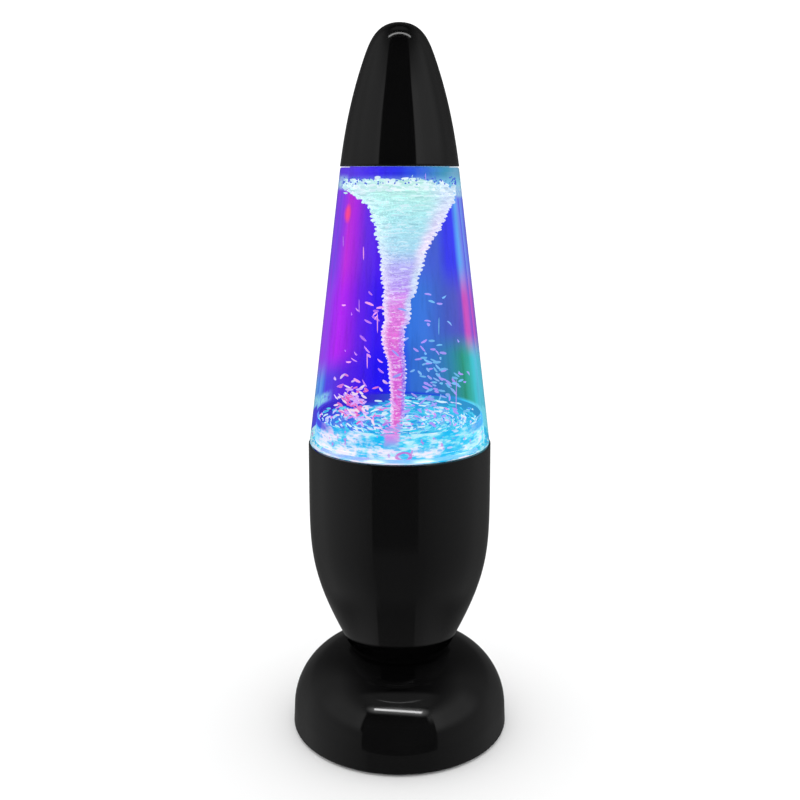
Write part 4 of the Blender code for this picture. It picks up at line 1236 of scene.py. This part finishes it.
def make_plain_card(name, corners, level, edge, shows_from=0.0):
    """An even card, seen only in reflections and only from its front. edge gives, by axis, how wide its
    soft edges are. shows_from is the least cosine of the angle that it is seen at."""
    n = Nodes(name)
    places = n.axes()
    shown = n.minus(1.0, n.facing_away())
    turned_away = n.add("LayerWeight").outputs["Facing"]
    shown = n.times(shown, n.remap(turned_away, 1.01 - shows_from, 0.95 - shows_from))
    for axis, (low_edge, high_edge) in edge.items():
        first, last = [pick(corner[axis] for corner in corners) for pick in (min, max)]
        rising = n.remap(places[axis], first, first + low_edge)
        falling = n.remap(places[axis], last, last - high_edge)
        shown = n.times(rising, falling, shown)
    mottle = n.remap(n.noise(20.0, 2.0), 0.3, 0.7, level * 0.9, level * 1.1)
    material = n.finish(n.mix_shader(shown, n.clear(), n.emission(WHITE, mottle)))
    only_in_reflections(stage_mesh(name, corners, [(0, 1, 2, 3)], material))


def make_arc_card():
    """A thin bright arc under the haze."""
    n = Nodes("arc_card")
    across = n.size(n.axes()[0])
    shown = n.emission(WHITE, n.remap(across, 0.050, 0.026, 0.3, 2.3))
    material = n.finish(n.mix_shader(n.facing_away(), shown, n.clear()))
    steps, level, pairs = 16, 0.1245, []
    for step in range(steps + 1):
        x = 0.050 * (2 * step / steps - 1)
        y = -0.0915 + 6.0 * x * x
        pairs.append([(x, y - 0.0012, level), (x, y + 0.0012, level)])
    strip_card("arc_card", pairs, material)


def make_lights():
    make_base_card()
    make_light_card("dome_strip", (-0.009, -0.3077, 0.3295), (0.0, -0.0457, 0.0275), (0.335, 0.024),
                    core=15.0, glow=2.6, spread=0.070, roll=5.0)
    make_light_card("cap_strip", (0.0, -0.0375, 0.442), (0.0, -0.0115, 0.322), (0.130, 0.0115),
                    core=6.0, glow=0.3, spread=0.016)
    wide, narrow, bottom, top = 0.0590, 0.0335, (-0.102, -0.0160), (-0.068, 0.048)
    make_plain_card("dark_card", [(wide, *bottom), (-wide, *bottom), (-narrow, *top), (narrow, *top)],
                    0.075, {2: (0.003, 0.014)}, 0.36)
    height, side, near, far = 0.125, 0.105, -0.050, -0.118
    make_plain_card("haze_card", [(-side, near, height), (side, near, height), (side, far, height),
                                  (-side, far, height)], 0.25, {0: (0.050, 0.050), 1: (0.014, 0.014)})
    make_arc_card()


def make_camera():
    """Camera at the photograph's angle: level, aimed a little down at the lamp from the front."""
    data = bpy.data.cameras.new("camera")
    data.sensor_width = 36.0
    data.lens = 45.13
    data.clip_start = 0.01
    camera = add_object("camera", data)
    camera.location = (0.00018, -0.4553, 0.2664)
    camera.rotation_euler = (math.radians(90.0 - 12.86), 0.0, 0.0)
    bpy.context.scene.camera = camera
    bpy.context.scene.view_settings.view_transform = "Standard"


def main():
    make_camera()
    make_world()
    make_floor_stage()
    make_lights()
    black = gloss_black()
    pale_blue = (0.5, 0.8, 1.0, 1.0)
    make_dome(black)
    make_cup(black)
    make_cap(black)
    make_bottle(bottle_outside(), hazy("clear_bottle_inside", 180.0, 0.03, (0.4, 0.5, 0.9, 1.0)))
    make_floor(lit_rim(), hazy("clear_plug", 150.0, 0.04, pale_blue), lit_floor())
    make_liquid(liquid_glow(), hazy("liquid_clear", 120.0, 0.02, pale_blue, 3.0))
    make_funnel_core(glitter("core"))
    make_funnel_flakes(glitter("inner"), glitter("fringe"))
    make_loose_flakes(glitter("loose"))
    make_floor_flakes(glitter("floor"))
    make_raft(glitter("raft"))
    make_bubbles()
    make_button(black)
    make_feet(rubber())
    make_diffuser(milky_diffuser())
    paint_inside()


main()
bpy.context.view_layer.update()
